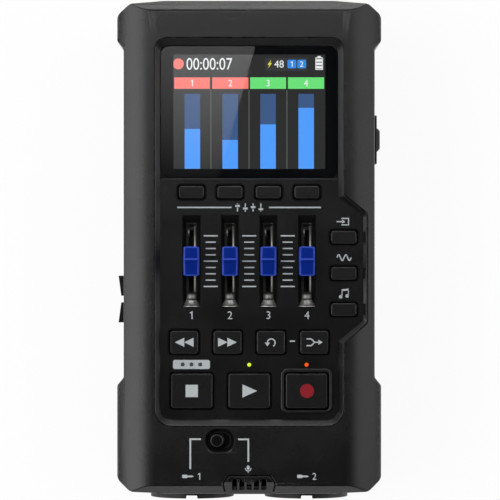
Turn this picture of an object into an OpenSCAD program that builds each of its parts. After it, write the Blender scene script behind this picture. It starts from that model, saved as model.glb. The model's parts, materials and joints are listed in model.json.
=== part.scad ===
// Handheld four-track recorder lying on its back.
// X runs across the case, Y along it towards the display, Z out of the control panel.
// The origin is the centre of the resting face. All sizes are in millimetres.

/* [Case] */
// Width across the corner bumpers
body_w = 78.3; // [75:0.1:84]
// Length of the case from end wall to end wall
body_l = 145.9; // [145:0.1:152]
// Height of the front face above the back
front_z = 45.5; // [45:0.25:50]
// Wall thickness of both shells
wall = 2.2; // [1.8:0.1:2.4]
// Height of the parting line between the shells
split_z = 18; // [16:0.5:18]
// Step from the bumpers in to the waist, each side
waist_in = 1.95; // [1.6:0.05:2.4]
// Length of the upper bumpers
bumper_top_l = 11.9; // [10:0.1:13]
// Length of the lower bumpers
bumper_low_l = 32; // [28:0.5:34]
// Length of the ramp between bumper and waist
bumper_ramp = 2.3; // [1.5:0.1:4]
// Width of the round shoulder along each long edge
shoulder_w = 11.6; // [10:0.1:12]
// Radius of the round shoulders
shoulder_r = 20; // [18:0.5:26]
// Width of the slope at the display end of the front face
end_slope_w = 3; // [2:0.1:3.4]
// Drop of that slope
end_slope_drop = 2.2; // [1.5:0.1:2.6]
// Width of the slope at the socket end of the front face
low_slope_w = 2.5; // [2:0.1:3]
// Radius round the edges of the back
back_r = 4; // [2:0.5:5]
// Width cut from each corner of the outline
corner_cut_w = 3.9; // [3.4:0.1:4.4]
// Length cut from each corner of the outline
corner_cut_l = 4.2; // [3.6:0.1:4.8]
// Radius at the end of each corner cut
corner_r = 2.8; // [1.5:0.1:4]
// Radius where the bumpers turn
bumper_r = 1.5; // [0.8:0.1:2]
// Radius along the outer edge of the shoulders
edge_r = 0.8; // [0.4:0.1:1.2]
// Rise of the display end's edge from the corners to its flat middle
crown_top = 0.85; // [0.4:0.05:1.2]
// Rise of the socket end's edge from the corners to its flat middle
crown_low = 0.5; // [0.3:0.05:0.9]
// Half length of the flat middle of the end edges
crown_flat = 25; // [22:0.5:29]

/* [Control bay] */
// Width of the bay floor
bay_w = 52.8; // [52:0.1:53.4]
// Place of the upper edge of the bay floor
bay_top = 60.9; // [60:0.1:61.5]
// Length of the bay floor
bay_l = 110.8; // [110:0.2:111.6]
// Depth of the bay floor below the front face
bay_depth = 2.2; // [2:0.1:3.4]
// Width of the sloped bay wall along the sides
bay_side_run = 1.4; // [1:0.1:1.6]
// Width of the sloped bay wall at the display end
bay_end_run = 2; // [1.4:0.1:2.4]
// Width of the sloped bay wall at the socket end
bay_low_run = 1.75; // [1.4:0.05:2.4]
// Corner radius of the bay floor at the top
bay_top_r = 2.8; // [2:0.1:4]
// Corner radius of the bay floor at the bottom
bay_low_r = 3.2; // [2:0.1:4]
// Thickness of the panel in the bay
panel_t = 1.8; // [1.8:0.1:2.2]
// Flat land on the rim of the panel
rim_land = 0.15; // [0.1:0.05:0.4]
// Gap between the panel rim and the front shell
panel_gap = 0.2; // [0.15:0.05:0.3]
// Width of the ledge that the panel seats on
seat_w = 0.95; // [0.8:0.05:1.2]
// Thickness of that ledge
seat_t = 1.4; // [1:0.1:1.8]
// Length of the bulge past the middle of the upper side key
bulge_above = 6.3; // [5:0.1:7]
// Length of the bulge past the middle of the lower side key
bulge_below = 3.3; // [2.8:0.1:4]
// Length of the bulge's upper slant
bulge_slant_top = 5.7; // [5:0.1:6.4]
// Length of the bulge's lower slant
bulge_slant_low = 6; // [5:0.1:6.4]
// Width of the bulge's sloped wall over the full depth of the bay
bulge_wall_run = 2; // [1.4:0.1:2.2]

/* [Display] */
// Length of the display window
window_l = 39.2; // [38.5:0.1:39.4]
// Thickness of the display window
window_t = 0.9; // [0.7:0.05:1]
// Step from the panel down to the window
window_step = 0.6; // [0.4:0.05:0.7]
// Width of the ledge under the window
window_seat = 1.3; // [1:0.1:1.6]
// Corner radius of the display window
window_r = 2.5; // [1:0.1:2.6]
// Thickness of the display module
lcd_t = 2.6; // [2:0.1:3.2]

/* [Faders] */
// Spacing of the faders and of the soft keys above them
fader_pitch = 11.4; // [11:0.1:11.6]
// Gap from the soft keys to the fader slots
fader_gap = 4.85; // [4:0.05:6]
// Fader travel from end to end
fader_travel = 15; // [13:0.5:16]
// Width of a fader cap
cap_w = 4.9; // [4.4:0.1:5.2]
// Length of a fader cap
cap_l = 8.7; // [8:0.1:9.2]
// Height of a fader cap
cap_h = 4.4; // [4:0.1:6]
// Depth of the step under a fader cap's crest
cap_step = 0.9; // [0.6:0.1:1.2]
// Gap from a fader cap to each side of its slot
cap_side_gap = 0.25; // [0.2:0.05:0.4]
// Room past a fader cap at each end of its travel
cap_end_gap = 1.8; // [1.2:0.1:2.2]
// Width of the slot's sloped walls along the sides
funnel_side = 1.05; // [0.6:0.05:1.3]
// Width of the slot's sloped walls at the ends
funnel_end = 2.2; // [1.4:0.1:2.4]
// Width of a fader lever
lever_w = 1; // [0.8:0.1:1.2]
// Length of a fader lever's section
lever_l = 2.4; // [2:0.1:3]
// Width of a fader's metal housing
pot_w = 7; // [6.5:0.1:7.4]
// Sheet thickness of a fader's metal housing
pot_sheet = 0.5; // [0.4:0.05:0.7]

/* [Keys] */
// Gap round a key cap in its opening
key_gap = 0.4; // [0.3:0.05:0.5]
// Rise of the key caps above the panel
key_rise = 1; // [0.8:0.1:1.4]
// Travel of a key
key_travel = 0.6; // [0.4:0.05:0.8]
// Corner radius of a key cap
key_r = 0.8; // [0.5:0.05:1]
// Bevel round the top of a key cap
key_bevel = 0.45; // [0.2:0.05:0.5]
// Width of a soft key under the display
soft_key_w = 7.6; // [7:0.1:8]
// Length of a soft key under the display
soft_key_l = 3.8; // [3.4:0.1:4.2]
// Gap from the window to the soft keys
soft_key_gap = 2.25; // [1.8:0.05:2.8]
// Width of a side key
side_key_w = 7.7; // [7.4:0.1:8]
// Length of a side key
side_key_l = 3.9; // [3.6:0.1:4.4]
// Place of the side keys across the case
side_key_x = 28; // [27.7:0.1:28.2]
// Distance of the middle side key below the middle of the fader travel
side_key_below = 3.6; // [3:0.1:4.4]
// Spacing of the side keys
side_key_pitch = 10.7; // [10.3:0.1:11]
// Width of a small key
small_key_w = 8.5; // [8:0.1:9]
// Length of a small key
small_key_l = 6.9; // [6.4:0.1:7.2]
// Gap from the fader slots to the small keys
small_key_gap = 6.9; // [6:0.05:7.6]
// Distance from the outer small keys to the sides of the bay
small_key_side = 2.89; // [2.65:0.01:3.55]
// Width of a large transport key
large_key_w = 12.5; // [12:0.1:12.8]
// Length of a large transport key
large_key_l = 10.4; // [10:0.1:10.6]
// Gap from the small keys to the large keys
large_key_gap = 5.75; // [5:0.05:6.4]
// Gap from the large keys to the end of the bay
bay_end_gap = 3.3; // [2.8:0.05:4]
// Distance from the outer large keys to the sides of the bay
large_key_side = 3.15; // [2.95:0.05:3.55]
// Width of the raised guard round the record key
guard_w = 1; // [0.8:0.1:1.1]
// Height of that guard above the panel
guard_h = 0.8; // [0.4:0.1:1]
// Radius of the indicator lights
led_r = 0.55; // [0.4:0.05:0.8]
// Gap from the small keys to the middle of the indicator lights
led_gap = 3.25; // [2.8:0.05:3.6]

/* [Selector and microphone] */
// Place of the selector dish across the case
selector_x = -8.7; // [-10:0.1:-8]
// Distance from the bay to the middle of the selector dish
selector_below = 6.15; // [5.8:0.05:6.4]
// Width of the selector dish
dish_w = 8.8; // [7.8:0.1:9.2]
// Length of the selector dish
dish_l = 7.1; // [6.6:0.1:7.2]
// Depth of the selector dish
dish_depth = 1.6; // [1:0.1:2]
// Width of the sloped wall of the dish
dish_run = 0.85; // [0.6:0.05:1]
// Radius of the selector nub
nub_r = 1.87; // [1.6:0.01:1.9]
// Selector travel
selector_travel = 1.8; // [1.4:0.1:2]
// Width of the microphone grille at its top
grille_top_w = 12.2; // [11.6:0.1:13]
// Width of the microphone grille where it is widest
grille_wide_w = 15.3; // [14.6:0.1:16]
// Width of the microphone grille at the case end
grille_end_w = 13.4; // [12.6:0.1:14.2]
// Distance of the grille's top from the case end
grille_top_in = 5.2; // [4.8:0.1:5.6]
// Distance of the grille's widest line from the case end
grille_wide_in = 2.9; // [2.4:0.1:3.4]
// Spacing of the grille slots
slot_pitch = 2.16; // [2:0.02:2.3]
// Width of a grille slot
slot_w = 1.36; // [1:0.02:1.5]
// Distance of the grille slots' near ends from the case end
slot_near = 1.2; // [1:0.1:1.6]
// Distance of the grille slots' far ends from the case end
slot_far = 4.4; // [4:0.1:4.6]
// Radius of the microphone capsule
mic_r = 3; // [2.5:0.1:3.4]

/* [Flanks] */
// Height of the flank controls above the back
flank_z = 29; // [28.5:0.1:29.5]
// Place of the middle of the two volume keys
volume_y = -14.4; // [-18:0.2:-12]
// Length of a volume key
volume_l = 6; // [5.4:0.1:6.4]
// Gap between the volume keys
volume_gap = 2; // [1.9:0.1:3]
// Height of a volume key
volume_h = 5; // [4:0.1:5.2]
// Rise of a volume key's outer end above the waist
volume_rise_out = 1.95; // [1.1:0.05:2.2]
// Rise of a volume key's inner end above the waist
volume_rise_in = 1.15; // [0.7:0.05:1.4]
// Place of the power slider
power_y = 33.3; // [28:0.2:38]
// Length of the power slider's plate
power_plate_l = 14.6; // [14:0.1:15.4]
// Height of the power slider's plate
power_plate_h = 7.6; // [7:0.1:7.8]
// Rise of that plate above the waist
plate_rise = 1; // [0.3:0.1:1.1]
// Length of the power knob at its foot
power_foot_l = 7.1; // [6.6:0.1:7.6]
// Length of the power knob at its tip
power_tip_l = 5.4; // [4.8:0.1:6]
// Height of the power knob
power_knob_h = 5; // [4:0.1:5.6]
// Power slider travel each way from the middle
power_travel = 2.5; // [2:0.1:2.6]

/* [Sockets] */
// Distance of each input socket from the middle
jack_x = 17.2; // [17:0.1:17.8]
// Height of the input sockets above the back
jack_z = 20.6; // [20.2:0.1:21]
// Radius of an input socket's boss
boss_r = 12.55; // [12.2:0.05:12.6]
// Rise of the boss past the case end
boss_out = 2.3; // [1.6:0.1:2.8]
// Width of the keyway in the boss
keyway_w = 3.3; // [2.6:0.1:4]
// Outer radius of the ring groove for the three-pin plug
groove_out_r = 9.75; // [9.6:0.05:9.9]
// Inner radius of that groove
groove_in_r = 7.95; // [7.8:0.05:8.2]
// Depth of the ring groove
groove_l = 13; // [11:0.5:15]
// Radius of the three pin holes
pin_r = 1.35; // [1.2:0.05:1.4]
// Distance of the pin holes from the socket's axis
pin_ring = 5.75; // [5.4:0.05:5.9]
// Radius of the 6.35 mm plug hole
jack_bore_r = 3.25; // [3.2:0.01:3.4]
// Depth of the 6.35 mm plug hole
jack_bore_l = 27; // [25:0.5:28]
// Length of an input socket behind the case end
jack_l = 28; // [27.5:0.5:29]
// Place of the phones socket
phones_y = 14; // [10:0.5:20]
// Radius of the 3.5 mm plug hole
phones_bore_r = 1.8; // [1.76:0.01:1.9]
// Depth of the 3.5 mm plug hole
phones_bore_l = 14; // [12:0.5:14.5]
// Place of the USB socket
usb_y = 2; // [-1:0.5:8]
// Width of the USB socket's metal shell
usb_w = 8.94; // [8.7:0.02:9.1]
// Height of the USB socket's metal shell
usb_h = 3.2; // [3:0.05:3.4]
// Place of the memory card slot
card_y = -16; // [-20:0.5:-14]
// Width of the memory card slot
card_w = 11.4; // [11.2:0.1:11.8]

/* [Battery bay] */
// Radius of a cell
cell_r = 7.1; // [6.9:0.05:7.2]
// Length of a cell with its contact nub
cell_l = 50.5; // [49.5:0.1:51]
// Spacing of the four cells
cell_pitch = 14.7; // [14.6:0.05:14.9]
// Place of the middle of the cells along the case
cell_y = -6; // [-7:0.5:-4]
// Length of a compressed contact spring
spring_l = 4.4; // [3.5:0.1:5]
// Thickness of the battery door
door_t = 2; // [1.8:0.1:2.2]
// Gap round the battery door
door_gap = 0.2; // [0.15:0.05:0.3]
// Radius of the round bead along the door's hinge edge
bead_r = 1.6; // [1.4:0.05:1.8]
// Radius of the door's hinge pins
hinge_pin_r = 0.9; // [0.7:0.05:1]

/* [Boards and screws] */
// Thickness of the circuit boards
board_t = 1.6; // [1.2:0.1:1.6]
// Height of the key switches
switch_h = 2.6; // [2.2:0.1:2.8]
// Side of a key switch
switch_w = 5.2; // [4.6:0.1:5.4]
// Radius of a case screw
screw_r = 1.15; // [1:0.05:1.3]
// Radius of a screw head
screw_head_r = 2.1; // [1.9:0.05:2.2]

/* [Hidden] */

$fn = 48;
// Clearance between pieces that seat beside each other
clear = 0.3;
// Radial clearance of a pin that turns or slides in a hole
run_fit = 0.05;
// Overlap of a cutting shape past the face that it cuts
past = 1;
// Overlap of shapes that are fused into one piece
lap = 0.2;
// Radius of the corners of small mouldings
soft_r = 0.8;
// Least radius that is left at a corner
least_r = 0.05;

soft_key = [soft_key_w, soft_key_l];
side_key = [side_key_w, side_key_l];
small_key = [small_key_w, small_key_l];
large_key = [large_key_w, large_key_l];

// Ends of the case, with the sockets' tips and the display end the same distance from the middle
y_top = (body_l + boss_out) / 2;
y_low = y_top - body_l;
half_w = body_w / 2;
waist_x = half_w - waist_in;
inner_x = waist_x - wall;
// Depth of a cut through a flank, centred in its wall
through = 2 * wall + 2 * past;

// Levels of the control bay and of what lies under it
panel_z = front_z - bay_depth;
panel_low_z = panel_z - panel_t;
seat_z = panel_low_z - seat_t;
bay_low = bay_top - bay_l;
window_top = bay_top - clear / 2;
window_low = window_top - window_l;
window_y = (window_top + window_low) / 2;
// The fader slots, and the rows below the window, whose gaps stretch to fill the bay
slot_size = [cap_w + 2 * cap_side_gap, cap_l + fader_travel + 2 * cap_end_gap];
row_l = soft_key_l + slot_size[1] + small_key_l + large_key_l;
gap_l = soft_key_gap + fader_gap + small_key_gap + large_key_gap + bay_end_gap;
stretch = (window_low - bay_low - row_l) / gap_l;
soft_key_y = window_low - soft_key_gap * stretch - soft_key_l / 2;
fader_y = soft_key_y - fader_gap * stretch - (soft_key_l + slot_size[1]) / 2;
side_key_y = fader_y - side_key_below;
small_key_y = fader_y - small_key_gap * stretch - (slot_size[1] + small_key_l) / 2;
led_y = small_key_y - led_gap * stretch - small_key_l / 2;
large_key_y = small_key_y - large_key_gap * stretch - (small_key_l + large_key_l) / 2;
// The outer keys keep their distance from the sides of the bay
small_key_pitch = (bay_w - small_key_w - 2 * small_key_side) / 3;
large_key_pitch = (bay_w - large_key_w) / 2 - large_key_side;
window_z = panel_z - window_step - window_t;
// Key flanges, which stop under the panel
flange_z = panel_low_z - clear;
flange_t = 0.9;
flange_lap = 0.35;

// The front board lies just above the input sockets
boss_step = 0.55;
socket_body_r = boss_r - boss_step;
front_board_z = jack_z + socket_body_r + clear;
front_board_top = front_board_z + board_t;
// Gap between the boards' edges and the flanks
board_side_gap = 1.2;
front_board_half = inner_x - board_side_gap;
// Floor of a key switch's well, and the room left under a key that is pressed
switch_base = 0.6;
stem_spare = 0.1;
stem_low_z = front_board_top + switch_base + key_travel + stem_spare;
stem_r = 1.3;
stem_fit = 0.15;
switch_l = 4.4;
pot_top = panel_low_z - clear;
lcd_z = window_z - clear - lcd_t;

// The battery bay, its door and the main board on its roof
bay_wall = 1.2;
plate_t = 0.4;
contact_gap = 0.1;
cell_bay_w = 4 * cell_pitch + clear;
cell_bay_l = cell_l + spring_l + 2 * (plate_t + 2 * contact_gap);
cell_z = door_t + clear + cell_r;
cell_roof_z = cell_z + cell_r + clear;
main_board_z = cell_roof_z + bay_wall;
main_board_top = main_board_z + board_t;
cell_bay_top = cell_y + cell_bay_l / 2;
cell_bay_low = cell_y - cell_bay_l / 2;
door_recess = 0.1;
hinge_z = door_recess + bead_r;
hinge_y = cell_bay_top + bay_wall + bead_r + door_gap;
door_open_top = hinge_y + bead_r + 2 * door_gap;
door_open_low = cell_bay_low;

// Places of repeated pieces
fader_x = [for (i = [-1.5:1:1.5]) i * fader_pitch];
side_key_ys = [for (i = [1:-1:-1]) side_key_y + i * side_key_pitch];
small_key_x = [for (i = [-1.5:1:1.5]) i * small_key_pitch];
large_key_x = [for (i = [-1:1]) i * large_key_pitch];
cell_x = [for (i = [-1.5:1:1.5]) i * cell_pitch];

// Screws: distances in from the case's sides and ends, out from the bay, and the posts round them
case_screw_in = [6.5, 10];
case_screw_low_in = [5.2, 9.8];
board_post_out = 2.1;
board_post_in = [6, 2];
main_post_in = [11.6, 24];
case_screw_at = [[half_w - case_screw_in[0], y_top - case_screw_in[1]],
  [half_w - case_screw_low_in[0], y_low + case_screw_low_in[1]]];
board_post_at = [[bay_w / 2 + board_post_out, bay_top - board_post_in[0]],
  [bay_w / 2 + board_post_out, bay_low + board_post_in[1]]];
main_post_at = [waist_x - main_post_in[0], y_top - main_post_in[1]];
post_r = 2.4;
head_wall = 1;
head_post_r = screw_head_r + clear + head_wall;
screw_head_t = 1.6;
case_head_z = 9;
// Reach of the case, front board and main board screws into their posts, and the room past them
case_grip = 8;
front_grip = 3;
main_grip = 4;
screw_spare = 1.5;

// Sizes of the fader slots' throats and of the housings
throat_size = [slot_size[0] - 2 * funnel_side, slot_size[1] - 2 * funnel_end];
// Length of a housing past its slot in the panel, and the lever's room in the housing's own slot
pot_end = 2.8;
lever_end_gap = 0.5;
pot_l = throat_size[1] + 2 * pot_end;
lever_slot = [lever_w + 2 * clear, lever_l + fader_travel + 2 * lever_end_gap];
cap_z = panel_z + clear;

// Selector: the nub stands on a shutter that slides under the floor of the dish
selector_y = bay_low - selector_below;
dish_floor_z = front_z - dish_depth;
dish_floor_t = 1.6;
shuttle_z = dish_floor_z - dish_floor_t - clear;
shuttle_t = 0.8;
shuttle_past = 1.4;
shuttle = [dish_w + shuttle_past, dish_l - shuttle_past];
nub_sunk = 0.5;
selector_stem = 1.6;
selector_stem_l = 2.2;
selector_switch_l = 4.6;
selector_switch_past = 2;
dish_pad = 2;

// The front board reaches just past the selector's switch
front_board_past = 1;
front_board_y = [selector_y - selector_switch_l / 2 - front_board_past, bay_top - clear];

// Grille levels
grille_depth = 4.5;
grille_low_z = front_z - grille_depth;
grille_proud = 0.2;
// Slope of the grille's face towards the case end, which starts before the case's own slope
grille_slope_w = 3.6;
grille_slope_drop = 2.4;
mic_t = 2.6;

// Flank controls: flange behind the wall, stem into the switch
flank_stem_r = 1.1;
flank_flange = 0.8;
flank_lap = 0.7;
flank_reach = 1.4;
flank_switch = [4.4, 5];
flank_below = 2.4;
flank_face_x = inner_x - clear - flank_flange - key_travel - clear;
volume_ys = [volume_y + (volume_l + volume_gap) / 2, volume_y - (volume_l + volume_gap) / 2];
power_stem = [3, 2.2];
power_slot = [power_stem[0] + 2 * power_travel + clear, power_stem[1] + clear];
power_switch_size = [5, 13];
power_reach = 1;
plate_flange = 1;
plate_lap = 1.2;

// Outline tools: an outline is a list of [x, y, corner radius], counterclockwise
function at(p) = [p[0], p[1]];
function unit(v) = v / norm(v);
function normal(a, b) = let (d = unit(b - a)) [d[1], -d[0]];
function turn(a, b) = a[0] * b[1] - a[1] * b[0];
function before(list, i) = at(list[(i + len(list) - 1) % len(list)]);
function after(list, i) = at(list[(i + 1) % len(list)]);

// The outline moved outwards by d, or inwards where d is negative
function grow(outline, d) = [
  for (i = [0:len(outline) - 1])
    let (
      p = at(outline[i]),
      a = normal(before(outline, i), p),
      b = normal(p, after(outline, i)),
      q = p + (a + b) * d / (1 + a * b)
    ) [q[0], q[1], max(least_r, outline[i][2] + sign(turn(a, b)) * d)]
];

// The points of one rounded corner, with the radius limited by the edges beside it
function corner(a, p, b, r, steps) =
  let (
    u = unit(a - p),
    v = unit(b - p),
    half = acos(u * v) / 2,
    reach = min(r / tan(half), 0.48 * min(norm(a - p), norm(b - p))),
    radius = reach * tan(half),
    c = p + unit(u + v) * radius / sin(half),
    from = p + u * reach - c,
    to = p + v * reach - c,
    start = atan2(from[1], from[0]),
    swing = atan2(turn(from, to), from * to)
  ) [for (k = [0:steps]) c + radius * [cos(start + swing * k / steps), sin(start + swing * k / steps)]];

function rounded(outline, steps = 5) = [
  for (i = [0:len(outline) - 1])
    each corner(before(outline, i), at(outline[i]), after(outline, i), outline[i][2], steps)
];

function rect(size, r, c = [0, 0]) = [
  for (s = [[-1, -1], [1, -1], [1, 1], [-1, 1]])
    [c[0] + s[0] * size[0] / 2, c[1] + s[1] * size[1] / 2, r]
];

function mirrored(half) = concat(
  half,
  [for (i = [len(half) - 1:-1:0]) [for (k = [0:len(half[i]) - 1]) k == 0 ? -half[i][k] : half[i][k]]]
);

// Outline of the case seen from the front
crown_r = 30;
slope_r = 1.5;
case_plan = mirrored([
  [crown_flat, y_low, crown_r],
  [half_w - corner_cut_w, y_low + crown_low, corner_r],
  [half_w, y_low + corner_cut_l, corner_r],
  [half_w, y_low + bumper_low_l, bumper_r],
  [waist_x, y_low + bumper_low_l + bumper_ramp, bumper_r],
  [waist_x, y_top - bumper_top_l - bumper_ramp, bumper_r],
  [half_w, y_top - bumper_top_l, bumper_r],
  [half_w, y_top - corner_cut_l, corner_r],
  [half_w - corner_cut_w, y_top - crown_top, corner_r],
  [crown_flat, y_top, crown_r]
]);

// Half of the case's section across its length, set in by d, with the shoulder as an arc from the front face
shoulder_steps = 9;
function half_section(d) =
  let (
    r = shoulder_r - d,
    c = [half_w - shoulder_w, front_z - shoulder_r],
    step = asin((half_w - d - c[0]) / r) / shoulder_steps,
    arc = [for (k = [shoulder_steps:-1:0]) c + r * [sin(step * k), cos(step * k)]],
    foot = [half_w - d, d]
  ) concat(
    corner([0, d], foot, arc[0], max(least_r, back_r - d), 7),
    corner(foot, arc[0], arc[1], max(least_r, edge_r - d), 3),
    [for (k = [1:shoulder_steps]) arc[k]]
  );

// Section of the case along its length
case_profile = [
  [y_low, 0, back_r],
  [y_top, 0, back_r],
  [y_top, front_z - end_slope_drop, edge_r],
  [y_top - end_slope_w, front_z, slope_r],
  [y_low + low_slope_w, front_z, slope_r],
  [y_low, front_z - end_slope_drop * low_slope_w / end_slope_w, edge_r]
];

// The bay's bulge leaves room for the side keys' flanges beside the panel's ledge
bulge_x = side_key_x + side_key_w / 2 + key_gap + flange_lap + clear + seat_w;
bulge_high = side_key_ys[0] + bulge_above;
bulge_low = side_key_ys[2] - bulge_below;
bulge_r = 1.5;
bulge_in_r = 0.8;
// The shoulder cuts the bulge's sloped wall at about half of its height
bulge_run = bulge_wall_run / 2;
bulge_slant_run = 0.9;
// Growth of the bay's corner radii per width of its sloped end walls
low_flare = 0.85;
top_flare = 0.4;
low_run = bay_low_run / bay_end_run;

function bay_outline(side, end, bulge, diagonal) = [
  [-bay_w / 2 - side, bay_low - end * low_run, bay_low_r + end * low_flare],
  [bay_w / 2 + side, bay_low - end * low_run, bay_low_r + end * low_flare],
  [bay_w / 2 + side, bulge_low - bulge_slant_low - diagonal, bulge_in_r],
  [bulge_x + bulge, bulge_low - diagonal, bulge_r],
  [bulge_x + bulge, bulge_high + diagonal, bulge_r],
  [bay_w / 2 + side, bulge_high + bulge_slant_top + diagonal, bulge_in_r],
  [bay_w / 2 + side, bay_top + end, bay_top_r + end * top_flare],
  [-bay_w / 2 - side, bay_top + end, bay_top_r + end * top_flare]
];
bay_floor = bay_outline(0, 0, 0, 0);
bay_rim = grow(bay_outline(bay_side_run, bay_end_run, bulge_run, bulge_slant_run * 2 / 3), rim_land);
bay_opening = grow(bay_rim, panel_gap);

// A straight prism on a rounded outline
module prism(outline, z0, z1, steps = 5) {
  translate([0, 0, z0])
    linear_extrude(z1 - z0)
      polygon(rounded(outline, steps));
}

// A solid through convex rings, each given as [points, height]
module loft(rings) {
  n = len(rings[0][0]);
  top = len(rings) - 1;
  points = [for (ring = rings) for (p = ring[0]) [p[0], p[1], ring[1]]];
  sides = [
    for (j = [0:top - 1])
      for (i = [0:n - 1])
        let (a = j * n + i, b = j * n + (i + 1) % n)
          each [[a, a + n, b + n], [a, b + n, b]]
  ];
  low_cap = [for (i = [0:n - 1]) i];
  high_cap = [for (i = [n - 1:-1:0]) top * n + i];
  polyhedron(points, concat([low_cap], sides, [high_cap]));
}

module block(size, c) {
  translate(c - size / 2)
    cube(size);
}

// A round bar from a point along -Y, +X or +Z
module bar_x(r, p, l) {
  translate(p)
    rotate([0, 90, 0])
      cylinder(r = r, h = l);
}

module bar_y(r, p, l) {
  translate(p)
    rotate([90, 0, 0])
      cylinder(r = r, h = l);
}

module bar_z(r, p, l) {
  translate(p)
    cylinder(r = r, h = l);
}

module both_sides() {
  children();
  mirror([1, 0, 0])
    children();
}

// The body of the case between two heights, set in from its surface
module case_block(inset, z0, z1) {
  intersection() {
    prism(grow(case_plan, -inset), z0, z1);
    rotate([90, 0, 0])
      linear_extrude(body_l * 2, center = true)
        polygon(mirrored(half_section(inset)));
    rotate([90, 0, 90])
      linear_extrude(body_w * 2, center = true)
        polygon(rounded(grow(case_profile, -inset)));
  }
}

// The space that the bay takes above its floor, with sloped walls carried on past the front face
module bay_space() {
  z1 = front_z + past;
  k = (z1 - panel_z) / bay_depth;
  side = bay_side_run * k;
  end = bay_end_run * k;
  loft([
    [rounded(bay_main(0, 0)), panel_z],
    [rounded(bay_main(side, end)), z1]
  ]);
  loft([
    [rounded(bay_bulge(0, 0)), panel_z],
    [rounded(bay_bulge(bulge_wall_run * k, bulge_slant_run * k)), z1]
  ]);
}

function bay_main(side, end) = [
  [-bay_w / 2 - side, bay_low - end * low_run, bay_low_r + end * low_flare],
  [bay_w / 2 + side, bay_low - end * low_run, bay_low_r + end * low_flare],
  [bay_w / 2 + side, bay_top + end, bay_top_r + end * top_flare],
  [-bay_w / 2 - side, bay_top + end, bay_top_r + end * top_flare]
];

// The bulge, carried back into the bay along its two slants
function bay_bulge(out, diagonal) =
  let (
    back = 6,
    w = bulge_x - bay_w / 2,
    low = bulge_low - bulge_slant_low * (w + back) / w - diagonal,
    high = bulge_high + bulge_slant_top * (w + back) / w + diagonal,
    x0 = bay_w / 2 - back
  ) [
    [x0, low, 0.1],
    [bulge_x + out, bulge_low - diagonal, bulge_r],
    [bulge_x + out, bulge_high + diagonal, bulge_r],
    [x0, high, 0.1]
  ];

// Openings for the input sockets, shared by both shells
module socket_holes() {
  both_sides()
    bar_y(boss_r + clear / 2, [jack_x, y_low + wall + past, jack_z], wall + 2 * past);
}

grille_r = 0.6;
function grille_outline(d) = grow(mirrored([
  [grille_end_w / 2, y_low - past, grille_r],
  [grille_wide_w / 2, y_low + grille_wide_in, grille_r],
  [grille_top_w / 2, y_low + grille_top_in, grille_r]
]), d);

function dish_outline(d) = grow(rect([dish_w, dish_l], dish_l / 2, [selector_x, selector_y]), d);

module selector_slot(r, z0, z1) {
  for (s = [-1, 1])
    bar_z(r, [selector_x + s * selector_travel / 2, selector_y, z0], z1 - z0);
  block([selector_travel, 2 * r, z1 - z0], [selector_x, selector_y, (z0 + z1) / 2]);
}

// Front shell: the panel's tub, the selector's dish and the posts hang inside its skin
tub_wall = 1.6;
module front_shell() {
  color("#2a2a2b")
    difference() {
      union() {
        difference() {
          case_block(0, split_z, front_z);
          case_block(wall, split_z - past, front_z);
        }
        // Tub that the control panel drops into
        intersection() {
          prism(grow(bay_opening, tub_wall), seat_z, front_z);
          case_block(wall / 2, split_z, front_z);
        }
        // Pad under the selector dish
        block([dish_w + 2 * dish_pad, dish_l + 2 * dish_pad, dish_depth + dish_floor_t - past],
          [selector_x, selector_y, front_z - past - (dish_depth + dish_floor_t - past) / 2]);
        both_sides() {
          for (p = case_screw_at)
            intersection() {
              bar_z(post_r, [p[0], p[1], split_z], front_z - split_z);
              case_block(wall / 2, split_z, front_z);
            }
          for (p = board_post_at)
            bar_z(post_r, [p[0], p[1], front_board_top], seat_z + seat_t / 2 - front_board_top);
        }
      }
      prism(bay_opening, panel_low_z, front_z + past);
      prism(grow(bay_floor, -seat_w), seat_z - past, panel_low_z + past);
      socket_holes();
      both_sides() {
        for (p = case_screw_at)
          bar_z(screw_r + run_fit, [p[0], p[1], split_z - past], past + case_grip + screw_spare);
        for (p = board_post_at)
          bar_z(screw_r + run_fit, [p[0], p[1], front_board_top - past], past + front_grip + screw_spare / 3);
      }
      loft([
        [rounded(dish_outline(-dish_run)), dish_floor_z],
        [rounded(dish_outline(dish_run * past / dish_depth)), front_z + past]
      ]);
      selector_slot(nub_r + clear / 2, dish_floor_z - dish_floor_t - past, dish_floor_z + past);
      // Pocket that the selector's shutter slides in
      block(
        [shuttle[0] + selector_travel + 2 * clear, shuttle[1] + 2 * clear, 2 * (shuttle_z + clear - seat_z)],
        [selector_x, selector_y, seat_z]);
      prism(grille_outline(clear / 2), grille_low_z - clear / 2, front_z + past);
      for (y = volume_ys)
        block([through, volume_l + clear, volume_h + clear], [-waist_x + wall / 2, y, flank_z]);
      block([through, power_plate_l + clear, power_plate_h + clear],
        [waist_x - wall / 2, power_y, flank_z]);
      bar_x(phones_nose_r + clear / 2, [-waist_x - past, phones_y, phones_z], wall + 2 * past);
      block([through, usb_w + 2 * clear, usb_h + 2 * clear],
        [waist_x - wall / 2, usb_y, usb_z]);
      block([through, card_w + clear, card_mouth], [waist_x - wall / 2, card_y, card_z]);
    }
}

// Frame of the battery door's opening
door_size = [cell_bay_w - 2 * door_gap, hinge_y - door_open_low - door_gap];
lug_w = 2.6;
lug_wall = 1.1;
lug_top = hinge_z + hinge_pin_r + lug_wall;
// Depth of the hinge pins' sockets in the lugs, and the room past the pins
pin_socket_l = 2;
pin_socket_x = cell_bay_w / 2 + pin_socket_l;
// Thumb notch at the free end of the door: radius, distance in and depth
thumb_r = 9;
thumb_in = 3.5;
thumb_depth = 1.1;

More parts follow.
